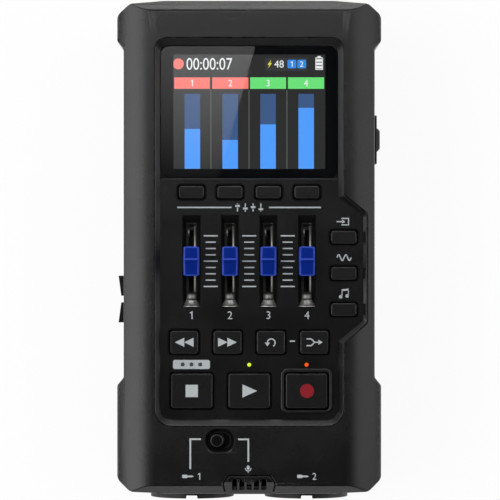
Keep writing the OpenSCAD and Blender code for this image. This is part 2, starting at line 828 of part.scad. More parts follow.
module rear_shell() {
  color("#262627")
    difference() {
      union() {
        difference() {
          case_block(0, 0, split_z);
          case_block(wall, wall, split_z + past);
        }
        // Walls and roof of the battery bay
        block([cell_bay_w + 2 * bay_wall, cell_bay_l + 2 * bay_wall, main_board_z - past],
          [0, cell_y, (main_board_z + past) / 2]);
        both_sides() {
          block([lug_w, 2 * (bead_r + lug_wall), lug_top - past],
            [cell_bay_w / 2 + lug_w / 2, hinge_y, (lug_top + past) / 2]);
          for (p = case_screw_at)
            bar_z(head_post_r, [p[0], p[1], past], split_z - past);
          bar_z(post_r, [main_post_at[0], main_post_at[1], past], main_board_z - past);
        }
      }
      block([cell_bay_w, cell_bay_l, cell_roof_z + past], [0, cell_y, (cell_roof_z - past) / 2]);
      block([cell_bay_w, door_open_top - door_open_low, wall + past + clear / 2],
        [0, (door_open_top + door_open_low) / 2, (wall + clear / 2 - past) / 2]);
      // Sockets of the door's hinge pins
      bar_x(hinge_pin_r + run_fit, [-pin_socket_x, hinge_y, hinge_z], 2 * pin_socket_x);
      bar_z(thumb_r, [0, door_open_low + thumb_in, -past], past + thumb_depth);
      socket_holes();
      both_sides() {
        for (p = case_screw_at) {
          bar_z(screw_head_r + clear, [p[0], p[1], -past], case_head_z + screw_head_t + past);
          bar_z(screw_r + run_fit, [p[0], p[1], 0], split_z + past);
        }
        bar_z(screw_r + run_fit, [main_post_at[0], main_post_at[1], main_board_z - main_grip - screw_spare],
          main_grip + screw_spare + past);
      }
    }
}

// Case screws: the head sits deep in its post, and the shank reaches into the front shell
module case_screws() {
  color("#3c3d40")
    both_sides()
      for (p = case_screw_at) {
        bar_z(screw_head_r, [p[0], p[1], case_head_z], screw_head_t);
        bar_z(screw_r, [p[0], p[1], case_head_z + lap], split_z + case_grip - case_head_z - lap);
      }
}

module board_screws() {
  color("#b9bcc0")
    both_sides() {
      for (p = board_post_at) {
        bar_z(screw_head_r, [p[0], p[1], front_board_z - screw_head_t], screw_head_t);
        bar_z(screw_r, [p[0], p[1], front_board_z - lap], board_t + front_grip + lap);
      }
      bar_z(screw_head_r, [main_post_at[0], main_post_at[1], main_board_top], screw_head_t);
      bar_z(screw_r, [main_post_at[0], main_post_at[1], main_board_z - main_grip], main_grip + board_t + lap);
    }
}

// Control panel: a dish with sloped walls that follows the front of the case
module key_opening(size, c) {
  prism(rect([size[0] + 2 * key_gap, size[1] + 2 * key_gap], key_r + key_gap / 2, c),
    panel_low_z - past, panel_z + past, 4);
}

module fader_funnel(x) {
  size = [slot_size[0] + 2 * funnel_side * past / panel_t, slot_size[1] + 2 * funnel_end * past / panel_t];
  loft([
    [[for (p = rect(throat_size, 0, [x, fader_y])) at(p)], panel_low_z],
    [[for (p = rect(size, 0, [x, fader_y])) at(p)], panel_z + past]
  ]);
  block([throat_size[0], throat_size[1], 2 * past], [x, fader_y, panel_low_z]);
}

// Notches in the bay wall beside the side keys: their size, and how far out and down they lie
relief = [0.9, 3.2, 1.3];
relief_out = 0.3;
relief_sunk = 0.6;
module control_panel() {
  guard = [large_key[0] + 2 * key_gap, large_key[1] + 2 * key_gap];
  window_c = [0, window_y];
  window_size = [bay_w - clear, window_l];
  color("#1c1c1e")
    difference() {
      union() {
        difference() {
          intersection() {
            prism(bay_rim, panel_low_z, front_z);
            case_block(0.05, split_z, front_z);
          }
          bay_space();
        }
        prism(rect(guard + 2 * [guard_w, guard_w], key_r + guard_w, [large_key_x[2], large_key_y]),
          panel_z - lap, panel_z + guard_h, 4);
      }
      for (x = fader_x) {
        fader_funnel(x);
        key_opening(soft_key, [x, soft_key_y]);
      }
      for (y = side_key_ys) {
        key_opening(side_key, [side_key_x, y]);
        // Notch in the foot of the bay wall beside the key
        block(relief, [bulge_x + relief_out, y, panel_z - relief_sunk + relief[2] / 2]);
      }
      for (x = small_key_x)
        key_opening(small_key, [x, small_key_y]);
      for (x = large_key_x)
        key_opening(large_key, [x, large_key_y]);
      for (x = [large_key_x[1], large_key_x[2]])
        bar_z(led_r + run_fit, [x, led_y, panel_low_z - past], panel_t + 2 * past);
      prism(rect(window_size + [clear, clear], window_r + clear / 2, window_c), window_z, panel_z + past);
      prism(rect(window_size - 2 * [window_seat, window_seat], soft_r, window_c),
        panel_low_z - past, panel_z + past);
    }
}

module display_window() {
  color("#101113")
    prism(rect([bay_w - clear, window_l], window_r, [0, window_y]), window_z, window_z + window_t);
}

// Display module in the panel's window opening, on a bracket that stands on the front board
lcd_size = [bay_w - clear - 2 * window_seat - 2 * clear, window_l - 2 * window_seat - 2 * clear];
module display_module() {
  color("#3a3c40")
    prism(rect(lcd_size, soft_r, [0, window_y]), lcd_z, lcd_z + lcd_t);
}

// Both of the bracket's walls and lips together, and the thickness of its shelf
bracket_wall = [6, 6];
bracket_lip = [16, 12];
bracket_t = 0.8;
module display_bracket() {
  color("#d8d8d4")
    difference() {
      prism(rect(lcd_size, soft_r, [0, window_y]), front_board_top, lcd_z);
      prism(rect(lcd_size - bracket_wall, soft_r, [0, window_y]), front_board_top - past, lcd_z - bracket_t);
      prism(rect(lcd_size - bracket_lip, soft_r, [0, window_y]), front_board_top - past, lcd_z + past);
    }
}

module front_board() {
  y0 = front_board_y[0];
  y1 = front_board_y[1];
  color("#1f5a3a")
    difference() {
      block([2 * front_board_half, y1 - y0, board_t], [0, (y0 + y1) / 2, front_board_z + board_t / 2]);
      both_sides()
        for (p = board_post_at)
          bar_z(screw_r + run_fit, [p[0], p[1], front_board_z - past], board_t + 2 * past);
    }
}

// Main board: between the input sockets and the upper case screws
main_board_half = inner_x - board_side_gap;
main_board_low_gap = 5;
main_board_top_gap = 4;
module main_board() {
  y0 = y_low + jack_l + main_board_low_gap;
  y1 = y_top - case_screw_in[1] - main_board_top_gap;
  color("#1f5a3a")
    difference() {
      block([2 * main_board_half, y1 - y0, board_t], [0, (y0 + y1) / 2, main_board_z + board_t / 2]);
      both_sides()
        bar_z(screw_r + run_fit, [main_post_at[0], main_post_at[1], main_board_z - past], board_t + 2 * past);
    }
}

connector_w = 26;
connector_l = 4.4;
connector_in = 20;
module board_connector() {
  color("#1a1a1c")
    block([connector_w, connector_l, front_board_z - main_board_top],
      [0, y_top - connector_in, (front_board_z + main_board_top) / 2]);
}

// Slide potentiometers: a metal box with a long slot for the lever, open below inside
// Sloped stops that stand on a housing, just inside the ends of its slot in the panel
stop_l = 0.9;
stop_h = 0.75;
stop_in = 0.45;
module fader_housings() {
  h = pot_top - front_board_top;
  far = throat_size[1] / 2 - stop_in;
  color("#8d8f90")
    for (x = fader_x) {
      difference() {
        block([pot_w, pot_l, h], [x, fader_y, front_board_top + h / 2]);
        block([pot_w - 2 * pot_sheet, pot_l - 4 * pot_sheet, h - 2 * pot_sheet],
          [x, fader_y, front_board_top + h / 2]);
        block([lever_slot[0], lever_slot[1], 2 * past], [x, fader_y, pot_top]);
      }
      for (side = [-1, 1])
        translate([x - throat_size[0] / 2 + stop_in, fader_y, pot_top])
          rotate([90, 0, 90])
            linear_extrude(throat_size[0] - 2 * stop_in)
              polygon([
                [side * far, -lap],
                [side * far, stop_h],
                [side * (far - stop_l), stop_h / 8],
                [side * (far - stop_l), -lap]
              ]);
    }
}

// Lever with the wiper carriage that slides inside the housing
carriage_h = 2.2;
carriage_past = 3;
lever_spare = 0.1;
module fader_lever(i) {
  x = fader_x[i];
  z0 = front_board_top + pot_sheet + clear;
  tip = cap_z + cap_h - cap_step - cap_roof - lever_spare;
  color("#a4a6a8")
    union() {
      block([pot_w - 2 * pot_sheet - 2 * clear, lever_l + carriage_past, carriage_h],
        [x, fader_y, z0 + carriage_h / 2]);
      block([lever_w, lever_l, tip - z0 - carriage_h + lap], [x, fader_y, (tip + z0 + carriage_h - lap) / 2]);
    }
}

// Cap with a crest across it: a slope rises to the crest from one end, and a step falls from it to the other
cap_r = 0.7;
cap_foot = 0.8;
cap_taper = 0.22;
cap_bevel = 0.24;
cap_roof = 0.6;
// Place and width of the crest, run of the step, and drops of the slopes at the cap's ends
crest_y = 0.6;
crest_w = 0.5;
step_run = 0.6;
far_drop = 0.45;
near_drop = 0.6;
module fader_cap(i) {
  c = [fader_x[i], fader_y];
  foot = rect([cap_w, cap_l], cap_r, c);
  top = cap_z + cap_h;
  far = c[1] + cap_l / 2;
  near = c[1] - cap_l / 2;
  crest = c[1] + crest_y;
  color("#16308f")
    difference() {
      loft([
        [rounded(foot, 4), cap_z],
        [rounded(foot, 4), cap_z + cap_foot],
        [rounded(grow(foot, -cap_taper), 4), top - cap_bevel],
        [rounded(grow(foot, -cap_taper - cap_bevel), 4), top]
      ]);
      cap_cut(c[0], [
        [crest + crest_w / 2, top],
        [far, top - far_drop],
        [far + past, top - far_drop],
        [far + past, top + past],
        [crest + crest_w / 2, top + past]
      ]);
      cap_cut(c[0], [
        [near - past, top - near_drop],
        [near, top - near_drop],
        [crest - crest_w / 2 - step_run, top - cap_step],
        [crest - crest_w / 2, top],
        [crest - crest_w / 2, top + past],
        [near - past, top + past]
      ]);
      block([lever_w + 2 * run_fit, lever_l + 2 * run_fit, cap_h - cap_step - cap_roof + past],
        [c[0], c[1], (cap_z - past + top - cap_step - cap_roof) / 2]);
    }
}

// A cut right across a cap, from its outline along the case
module cap_cut(x, outline) {
  translate([x - cap_w, 0, 0])
    rotate([90, 0, 90])
      linear_extrude(2 * cap_w)
        polygon(outline);
}

// Key: bevelled cap, a flange that stops it under the panel and a stem into its switch
module key(size, c) {
  foot = rect(size, key_r, c);
  top = panel_z + key_rise;
  flange = size + 2 * [key_gap + flange_lap, key_gap + flange_lap];
  color("#232325")
    union() {
      loft([
        [rounded(foot, 4), flange_z - lap],
        [rounded(foot, 4), top - key_bevel],
        [rounded(grow(foot, -key_bevel * 0.3), 4), top - key_bevel * 0.35],
        [rounded(grow(foot, -key_bevel), 4), top]
      ]);
      prism(rect(flange, key_r, c), flange_z - flange_t, flange_z, 4);
      bar_z(stem_r, [c[0], c[1], stem_low_z], flange_z - flange_t - stem_low_z + lap);
    }
}

// Switches under the keys, each with a well for the key's stem
module key_switch(c) {
  difference() {
    block([switch_w, switch_l, switch_h], [c[0], c[1], front_board_top + switch_h / 2]);
    bar_z(stem_r + stem_fit, [c[0], c[1], front_board_top + switch_base], switch_h);
  }
}

module key_switches() {
  color("#d0d0cc") {
    for (x = fader_x)
      key_switch([x, soft_key_y]);
    for (y = side_key_ys)
      key_switch([side_key_x, y]);
    for (x = small_key_x)
      key_switch([x, small_key_y]);
    for (x = large_key_x)
      key_switch([x, large_key_y]);
  }
}

// Indicator light: a body on the board with a light pipe up to the panel
led_collar = 0.6;
led_proud = 0.05;
module indicator(x, tint) {
  h = panel_low_z - clear - front_board_top;
  color(tint)
    union() {
      bar_z(led_r + led_collar, [x, led_y, front_board_top], h);
      bar_z(led_r, [x, led_y, front_board_top], panel_z + led_proud - front_board_top);
    }
}

// Selector: a nub on a sliding shutter, with a stem into the switch below
selector_switch_top = shuttle_z - shuttle_t - clear;
selector_at = [selector_x - selector_travel / 2, selector_y];
module input_selector() {
  color("#19191b")
    union() {
      bar_z(nub_r, [selector_at[0], selector_at[1], shuttle_z - lap], front_z - nub_sunk - shuttle_z + lap);
      block([shuttle[0], shuttle[1], shuttle_t], [selector_at[0], selector_at[1], shuttle_z - shuttle_t / 2]);
      block([selector_stem, selector_stem, selector_stem_l + lap],
        [selector_at[0], selector_at[1], shuttle_z - shuttle_t - (selector_stem_l - lap) / 2]);
    }
}

module selector_switch() {
  h = selector_switch_top - front_board_top;
  color("#c9cac6")
    difference() {
      block([dish_w + selector_switch_past, selector_switch_l, h],
        [selector_x, selector_y, front_board_top + h / 2]);
      block([selector_stem + selector_travel + clear, selector_stem + clear, 2 * selector_stem_l],
        [selector_x, selector_y, selector_switch_top]);
    }
}

// Microphone grille let into the lower front edge
module mic_grille() {
  h = grille_depth + grille_proud;
  color("#1b1b1c")
    difference() {
      intersection() {
        prism(grille_outline(0), grille_low_z, front_z + grille_proud);
        case_block(-grille_proud, split_z, front_z + grille_proud);
        translate([-grille_wide_w / 2, y_low, grille_low_z])
          rotate([90, 0, 90])
            linear_extrude(grille_wide_w)
              polygon([
                [-past, 0],
                [-past, h - grille_slope_drop * (1 + past / grille_slope_w)],
                [grille_slope_w, h],
                [grille_top_in + past, h],
                [grille_top_in + past, 0]
              ]);
      }
      for (i = [-2:2])
        block([slot_w, slot_far - slot_near, 2 * (grille_depth + past)],
          [i * slot_pitch, y_low + (slot_near + slot_far) / 2, front_z]);
    }
}

module mic_capsule() {
  color("#9a9c9e")
    bar_z(mic_r, [0, y_low + wall + clear + mic_r, grille_low_z - clear - mic_t], mic_t);
}

// Volume key in the left flank, wedge shaped so that the pair can be told apart by touch
module volume_key(i) {
  y = volume_ys[i];
  x0 = inner_x - clear;
  rise = i == 0 ? [volume_rise_out, volume_rise_in] : [volume_rise_in, volume_rise_out];
  color("#222224")
    translate([0, y, flank_z])
      union() {
        rotate([0, 0, 180])
          translate([0, 0, -volume_h / 2])
            linear_extrude(volume_h)
              polygon([
                [x0 - lap, -volume_l / 2],
                [waist_x + rise[0], -volume_l / 2],
                [waist_x + rise[1], volume_l / 2],
                [x0 - lap, volume_l / 2]
              ]);
        block([flank_flange, volume_l + 2 * flank_lap, volume_h + 2 * flank_lap],
          [-x0 + flank_flange / 2, 0, 0]);
        bar_x(flank_stem_r, [-x0 + flank_flange - lap, 0, 0], lap + key_travel + clear + flank_reach);
      }
}

// Switches behind the volume keys, hanging from the front board
module flank_switches() {
  low = flank_z - flank_below;
  well_l = flank_reach + key_travel + stem_spare;
  color("#d0d0cc")
    for (y = volume_ys)
      difference() {
        block([flank_switch[0], flank_switch[1], front_board_z - low],
          [-flank_face_x + flank_switch[0] / 2, y, (front_board_z + low) / 2]);
        bar_x(flank_stem_r + stem_fit, [-flank_face_x - past, y, flank_z], past + well_l);
      }
}

// Power slider: plate in the right flank, knob with a stem through it, switch behind
plate_x = waist_x + plate_rise;
module power_plate() {
  color("#1d1d1f")
    difference() {
      union() {
        rotate([90, 0, 90])
          prism(rect([power_plate_l, power_plate_h], soft_r, [power_y, flank_z]), inner_x - clear, plate_x);
        block([plate_flange, power_plate_l + 2 * plate_lap, power_plate_h],
          [inner_x - clear / 2 - plate_flange / 2, power_y, flank_z]);
      }
      block([2 * through, power_slot[0], power_slot[1]], [waist_x, power_y, flank_z]);
    }
}

power_taper = 0.5;
module power_slider() {
  foot_x = plate_x + clear / 2;
  foot = [power_foot_l, power_knob_h];
  tip = [power_tip_l, power_knob_h - 2 * power_taper];
  stem_x = flank_face_x - power_reach;
  color("#222224")
    union() {
      rotate([90, 0, 90])
        loft([
          [rounded(rect(foot, soft_r, [power_y, flank_z]), 4), foot_x],
          [rounded(rect(tip, soft_r, [power_y, flank_z]), 4), half_w]
        ]);
      block([foot_x + lap - stem_x, power_stem[0], power_stem[1]],
        [(foot_x + lap + stem_x) / 2, power_y, flank_z]);
    }
}

module power_switch() {
  low = flank_z - flank_below;
  color("#c9cac6")
    difference() {
      block([power_switch_size[0], power_switch_size[1], front_board_z - low],
        [flank_face_x - power_switch_size[0] / 2, power_y, (front_board_z + low) / 2]);
      block([2 * (power_reach + clear), power_slot[0], power_slot[1]], [flank_face_x, power_y, flank_z]);
    }
}

// Input socket: boss with a keyway, ring groove and pin holes for a three-pin plug, plug hole in the middle
insert_in = 0.8;
socket_face = y_low - boss_out + insert_in;
socket_lap = 0.9;
socket_flange = 1.2;
pin_l = 8;
keyway_depth = 0.9;
function pin_at(a) = [pin_ring * cos(a), pin_ring * sin(a)];
module input_socket(s) {
  x = s * jack_x;
  tip = y_low - boss_out;
  color("#141416")
    difference() {
      union() {
        bar_y(boss_r, [x, y_low + wall, jack_z], wall + boss_out);
        bar_y(socket_body_r, [x, y_low + jack_l, jack_z], jack_l - wall - clear);
        intersection() {
          bar_y(boss_r + socket_lap, [x, y_low + wall + clear + socket_flange, jack_z], socket_flange);
          block([3 * boss_r, jack_l, 2 * socket_body_r], [x, y_low, jack_z]);
        }
        bar_y(socket_body_r, [x, y_low + wall + clear + past, jack_z], wall);
      }
      bar_y(groove_out_r, [x, socket_face, jack_z], boss_out + past);
      difference() {
        bar_y(groove_out_r, [x, socket_face + groove_l, jack_z], groove_l + past);
        bar_y(groove_in_r, [x, socket_face + groove_l + past, jack_z], groove_l + 3 * past);
      }
      for (p = [for (a = [90, 210, 330]) pin_at(a)])
        bar_y(pin_r, [x + p[0], socket_face + groove_l + pin_l, jack_z + p[1]], groove_l + pin_l + past);
      bar_y(jack_bore_r, [x, socket_face + jack_bore_l, jack_z], jack_bore_l + past);
      block([keyway_w, 2 * keyway_depth, 2 * (boss_r - groove_out_r) + 2 * past],
        [x, tip, jack_z + (boss_r + groove_out_r) / 2]);
    }
}

// Metal contacts at the back of the pin holes
module socket_contacts() {
  color("#c7a24a")
    both_sides()
      for (p = [for (a = [90, 210, 330]) pin_at(a)])
        bar_y(pin_r - run_fit, [jack_x + p[0], socket_face + groove_l + pin_l - run_fit, jack_z + p[1]],
          pin_l);
}

// Phones socket on the main board
phones_nose_r = 2.9;
phones_body = [12, 6.4, 6];
phones_z = main_board_top + phones_body[2] / 2;
module phones_socket() {
  mouth = -waist_x + run_fit;
  body_x = -inner_x + clear;
  color("#161618")
    difference() {
      union() {
        bar_x(phones_nose_r, [mouth, phones_y, phones_z], body_x - mouth + past);
        block(phones_body, [body_x + phones_body[0] / 2, phones_y, phones_z]);
      }
      bar_x(phones_bore_r, [mouth - past, phones_y, phones_z], phones_bore_l + past);
    }
}

// USB socket: a flat metal shell round a plastic tongue
usb_z = main_board_top + usb_h / 2;
usb_l = 7.4;
usb_r = 1.3;
usb_sunk = 0.4;
usb_sheet = 0.35;
usb_back = 1;
usb_tongue = [6.2, 0.7];
module usb_socket() {
  mouth = waist_x - usb_sunk;
  c = [usb_y, usb_z];
  color("#b4b6b8")
    rotate([90, 0, 90]) {
      difference() {
        prism(rect([usb_w, usb_h], usb_r, c), mouth - usb_l, mouth, 4);
        prism(rect([usb_w, usb_h] - 2 * [usb_sheet, usb_sheet], usb_r - usb_sheet, c),
          mouth - usb_l + usb_back, mouth + past, 4);
      }
      prism(rect(usb_tongue, usb_tongue[1] / 4, c), mouth - usb_l + usb_back - lap, mouth - usb_back, 2);
    }
}

// Memory card slot, open towards the right flank
card_body_h = 1.8;
card_mouth = 1.6;
card_gap = 1;
card_l = 14;
card_sides = 1.8;
card_back = 1.6;
card_z = main_board_top + card_body_h / 2;
module card_slot() {
  mouth = inner_x - clear;
  color("#b4b6b8")
    difference() {
      block([card_l, card_w + card_sides, card_body_h], [mouth - card_l / 2, card_y, card_z]);
      block([card_l, card_w, card_gap], [mouth - card_l / 2 + card_back, card_y, card_z]);
    }
}

// Battery door that swings on two pins at its upper edge
grip = [16, 0.9, 1];
grip_pitch = 2;
grip_in = 6;
pin_spare = 0.2;
module battery_door() {
  y0 = door_open_low + door_gap;
  pin_tip = pin_socket_x - pin_spare;
  color("#242425")
    difference() {
      union() {
        block([door_size[0], door_size[1], door_t], [0, y0 + door_size[1] / 2, door_recess + door_t / 2]);
        bar_x(bead_r, [-door_size[0] / 2, hinge_y, hinge_z], door_size[0]);
        bar_x(hinge_pin_r, [-pin_tip, hinge_y, hinge_z], 2 * pin_tip);
      }
      for (i = [0:3])
        block(grip, [0, y0 + grip_in + i * grip_pitch, door_recess]);
    }
}

// Cells in turn nub up and nub down, with a plate at each end and a spring at each flat end
function flip(i) = i % 2 == 0 ? 1 : -1;
nub_l = 1;
cell_nub_r = 2.7;
module battery_cells() {
  color("#8f9194")
    for (i = [0:3])
      translate([cell_x[i], cell_y, cell_z])
        rotate([0, 0, flip(i) > 0 ? 0 : 180])
          translate([0, cell_bay_l / 2 - plate_t - 2 * contact_gap, 0])
            union() {
              bar_y(cell_nub_r, [0, 0, 0], nub_l + lap);
              bar_y(cell_r, [0, -nub_l, 0], cell_l - nub_l);
            }
}

spring_foot_r = 4.6;
spring_tip_r = 3.4;
spring_wire = 0.7;
module cell_springs() {
  color("#b9bcc0")
    for (i = [0:3])
      translate([cell_x[i], cell_y, cell_z])
        rotate([0, 0, flip(i) > 0 ? 0 : 180])
          translate([0, plate_t + contact_gap - cell_bay_l / 2, 0])
            rotate([-90, 0, 0])
              rotate_extrude()
                polygon([[spring_foot_r - spring_wire, 0], [spring_foot_r, 0], [spring_tip_r, spring_l],
                  [spring_tip_r - spring_wire, spring_l]]);
}

contact_w = 10;
module cell_contacts() {
  y = cell_bay_l / 2 - plate_t / 2 - contact_gap / 2;
  color("#b9bcc0")
    for (x = cell_x)
      for (s = [-1, 1])
        block([contact_w, plate_t, contact_w], [x, cell_y + s * y, cell_z]);
}

front_shell();
rear_shell();
control_panel();
display_window();
display_module();
display_bracket();
front_board();
main_board();
board_connector();
fader_housings();
fader_cap(0);  // fader_cap_1
fader_cap(1);  // fader_cap_2
fader_cap(2);  // fader_cap_3
fader_cap(3);  // fader_cap_4
fader_lever(0);  // fader_lever_1
fader_lever(1);  // fader_lever_2
fader_lever(2);  // fader_lever_3
fader_lever(3);  // fader_lever_4
key(soft_key, [fader_x[0], soft_key_y]);  // soft_key_1
key(soft_key, [fader_x[1], soft_key_y]);  // soft_key_2
key(soft_key, [fader_x[2], soft_key_y]);  // soft_key_3
key(soft_key, [fader_x[3], soft_key_y]);  // soft_key_4
key(side_key, [side_key_x, side_key_ys[0]]);  // side_key_1
key(side_key, [side_key_x, side_key_ys[1]]);  // side_key_2
key(side_key, [side_key_x, side_key_ys[2]]);  // side_key_3
key(small_key, [small_key_x[0], small_key_y]);  // rewind_key
key(small_key, [small_key_x[1], small_key_y]);  // forward_key
key(small_key, [small_key_x[2], small_key_y]);  // undo_key
key(small_key, [small_key_x[3], small_key_y]);  // bounce_key
key(large_key, [large_key_x[0], large_key_y]);  // stop_key
key(large_key, [large_key_x[1], large_key_y]);  // play_key
key(large_key, [large_key_x[2], large_key_y]);  // record_key
key_switches();
flank_switches();
indicator(large_key_x[1], "#d9f04a");  // play_light
indicator(large_key_x[2], "#ff5a1e");  // record_light
input_selector();
selector_switch();
mic_grille();
mic_capsule();
volume_key(0);  // volume_up_key
volume_key(1);  // volume_down_key
power_slider();
power_plate();
power_switch();
input_socket(-1);  // input_socket_a
input_socket(1);  // input_socket_b
socket_contacts();
phones_socket();
usb_socket();
card_slot();
battery_door();
battery_cells();
cell_springs();
cell_contacts();
case_screws();
board_screws();
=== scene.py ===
import json
import math

import bmesh
import bpy
from bpy.props import FloatProperty, FloatVectorProperty, PointerProperty
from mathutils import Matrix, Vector

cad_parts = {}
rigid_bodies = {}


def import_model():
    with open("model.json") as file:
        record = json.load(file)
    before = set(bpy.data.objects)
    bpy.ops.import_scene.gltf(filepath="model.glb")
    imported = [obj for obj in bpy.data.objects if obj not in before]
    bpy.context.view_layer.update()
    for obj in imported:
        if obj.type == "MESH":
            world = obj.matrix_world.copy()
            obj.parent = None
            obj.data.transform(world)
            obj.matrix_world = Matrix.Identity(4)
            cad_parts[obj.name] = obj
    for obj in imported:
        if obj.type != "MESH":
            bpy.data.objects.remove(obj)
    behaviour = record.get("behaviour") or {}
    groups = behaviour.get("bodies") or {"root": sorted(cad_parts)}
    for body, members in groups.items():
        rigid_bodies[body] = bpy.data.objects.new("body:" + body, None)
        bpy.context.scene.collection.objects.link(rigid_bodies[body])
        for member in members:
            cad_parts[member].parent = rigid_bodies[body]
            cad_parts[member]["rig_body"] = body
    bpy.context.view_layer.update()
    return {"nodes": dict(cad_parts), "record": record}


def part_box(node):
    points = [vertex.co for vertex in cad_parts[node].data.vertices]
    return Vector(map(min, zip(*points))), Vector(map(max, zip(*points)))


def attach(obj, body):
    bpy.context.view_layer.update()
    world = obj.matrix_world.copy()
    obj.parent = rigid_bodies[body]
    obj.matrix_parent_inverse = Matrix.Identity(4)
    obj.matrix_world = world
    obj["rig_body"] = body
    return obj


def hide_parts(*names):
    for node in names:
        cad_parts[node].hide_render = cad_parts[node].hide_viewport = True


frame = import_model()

bl_info = {
    "name": "Handheld four-track recorder",
    "version": (1, 0, 0),
    "blender": (4, 5, 0),
    "location": "3D View > Sidebar > Recorder",
    "description": "Dresses the recorder's solids with finishes, printed marks and a lit display",
    "category": "Object",
}

MM = 0.001
SLOTS = {part["node"]: part["material_slot"] for part in frame["record"]["subparts"]}
FADERS = [1, 2, 3, 4]
KEYS = [f"soft_key_{i}" for i in (1, 2, 3, 4)] + [f"side_key_{i}" for i in (1, 2, 3)] + [
    f"{use}_key" for use in ("rewind", "forward", "undo", "bounce", "stop", "play", "record")]
# Edges that turn by more degrees than this are rounded
ROUNDED_TURN = 32
# Edges of a flat zone that turn by more degrees than this are shaded as sharp
FLAT_TURN = 5
# How far a printed layer lies above the face that carries it
PRINT_GAP = 0.005 * MM
# Thickness of a layer that only blackens a face
FILM = 0.01 * MM


def linear(colour):
    """An sRGB hex colour as linear red, green and blue."""
    channels = [int(colour[i:i + 2], 16) / 255 for i in (1, 3, 5)]
    return [c / 12.92 if c <= 0.04045 else ((c + 0.055) / 1.055) ** 2.4 for c in channels]


# What a user would change


def colour_setting(name, description, default):
    """A colour, with its default as sRGB hex."""
    return FloatVectorProperty(
        name=name, description=description, subtype="COLOR", default=linear(default), min=0, max=1)


def length_setting(name, description, default):
    """A length, with its default in millimetres."""
    return FloatProperty(name=name, description=description, unit="LENGTH", default=default * MM, min=0)


def light_setting(name, description, default):
    """The brightness of a lit face, where 1 shows as white."""
    return FloatProperty(name=name, description=description, default=default, min=0)


class RecorderColours(bpy.types.PropertyGroup):
    """Colours of the recorder's finishes"""

    case: colour_setting("Case", "Moulded plastic of the shells and the door", "#080809")
    panel: colour_setting("Panel", "Moulded plastic of the control panel", "#060607")
    keys: colour_setting("Keys", "Rubber of the keys", "#151516")
    caps: colour_setting("Fader caps", "Moulded plastic of the fader caps", "#032073")
    # The paler blue of the caps' edges and crest is wear, and also a painted highlight
    caps_worn: colour_setting("Cap edges", "Worn edges of the fader caps", "#2840a4")
    ink: colour_setting("Ink", "Pad-printed marks", "#a8adaf")
    record_mark: colour_setting("Record mark", "Red mark on the record key", "#801420")
    armed: colour_setting("Armed track", "Tab of a track that records", "#ff7f75")
    ready: colour_setting("Ready track", "Tab of a track that plays", "#6fe57b")
    level: colour_setting("Level", "Lit part of a level bar", "#559fff")


class RecorderSizes(bpy.types.PropertyGroup):
    """Sizes of the recorder's finishes"""

    case_edge: length_setting("Case edges", "Rounding of the shells' edges", 0.45)
    corner_edge: length_setting("Corner edges", "Rounding of the edges at the case's four corners", 0.25)
    rim_edge: length_setting("Rim edges", "Rounding of the edges round the bay and the dish", 0.06)
    dish_edge: length_setting("Dish edge", "Rounding of the near edge of the selector's dish", 0.35)
    door_edge: length_setting("Door edges", "Rounding of the battery door's edges", 0.3)
    panel_edge: length_setting("Panel edges", "Rounding of the panel's edges", 0.18)
    guard_edge: length_setting("Guard edges", "Rounding of the guard round the record key", 0.34)
    key_edge: length_setting("Key edges", "Rounding of the keys' edges", 0.12)
    key_shrink: length_setting("Key clearance", "Extra clearance round the keys", 0.06)
    nub_edge: length_setting("Selector edges", "Rounding of the input selector's nub", 0.25)
    light_edge: length_setting("Light edges", "Rounding of the indicator lights", 0.1)
    light_shrink: length_setting("Light clearance", "Extra clearance round the indicator lights", 0.4)
    cap_edge: length_setting("Cap edges", "Rounding of the fader caps' edges", 0.4)
    lever_edge: length_setting("Lever edges", "Rounding of the fader levers' edges", 0.08)
    socket_edge: length_setting("Socket edges", "Rounding of the sockets' edges", 0.25)
    window_edge: length_setting("Window edges", "Rounding of the display window's edges", 0.12)
    ink_depth: length_setting("Ink depth", "Thickness of the printed ink", 0.02)
    grain: length_setting("Case grain", "Width of the grain in the case's texture", 0.4)


class RecorderStudio(bpy.types.PropertyGroup):
    """Lights of the studio, as the brightness of each softbox's face"""

    display_end: light_setting("Display end", "Softbox beyond the display end", 5.8)
    crown: light_setting("Crown", "Softbox high above the display end", 4.4)
    left: light_setting("Left", "Softbox at the left", 3.0)
    right: light_setting("Right", "Softbox at the right", 1.4)
    socket_end: light_setting("Socket end", "Softbox beyond the socket end", 1.8)
    low_left: light_setting("Low left", "Strip low down at the left", 7.0)
    low_right: light_setting("Low right", "Strip low down at the right", 6.5)
    corners: light_setting("Corners", "Softboxes off the case's corners", 2.4)
    overhead: light_setting("Overhead", "Card above the display, which the window mirrors", 1.4)
    ambient: light_setting("Ambient", "Light of the room", 0.01)


def settings():
    """The colours, the sizes and the studio lights that are set in the scene."""
    scene = bpy.context.scene
    return scene.recorder_colours, scene.recorder_sizes, scene.recorder_studio


# Materials


def add_node(tree, kind, inputs, **options):
    """A shader node with its options, and each input set to a value or linked to a socket."""
    made = tree.nodes.new(kind)
    for name, value in options.items():
        setattr(made, name, value)
    for socket, value in inputs.items():
        if isinstance(value, bpy.types.NodeSocket):
            tree.links.new(value, made.inputs[socket])
        else:
            made.inputs[socket].default_value = value
    return made


def finish(shader):
    """Turns a function that builds a shader in a node tree into one that makes a named material, once."""
    def made(name, *values, **options):
        material = bpy.data.materials.get(name)
        if material is None:
            material = bpy.data.materials.new(name)
            material.use_nodes = True
            tree = material.node_tree
            tree.nodes.clear()
            add_node(tree, "ShaderNodeOutputMaterial", {"Surface": shader(tree, *values, **options)})
        return material
    return made


def shade(colour, factor=1.0):
    """A colour, given as hex or set in the scene, made lighter or darker, as a shader takes it."""
    channels = linear(colour) if isinstance(colour, str) else colour
    return (*(min(1.0, c * factor) for c in channels), 1.0)


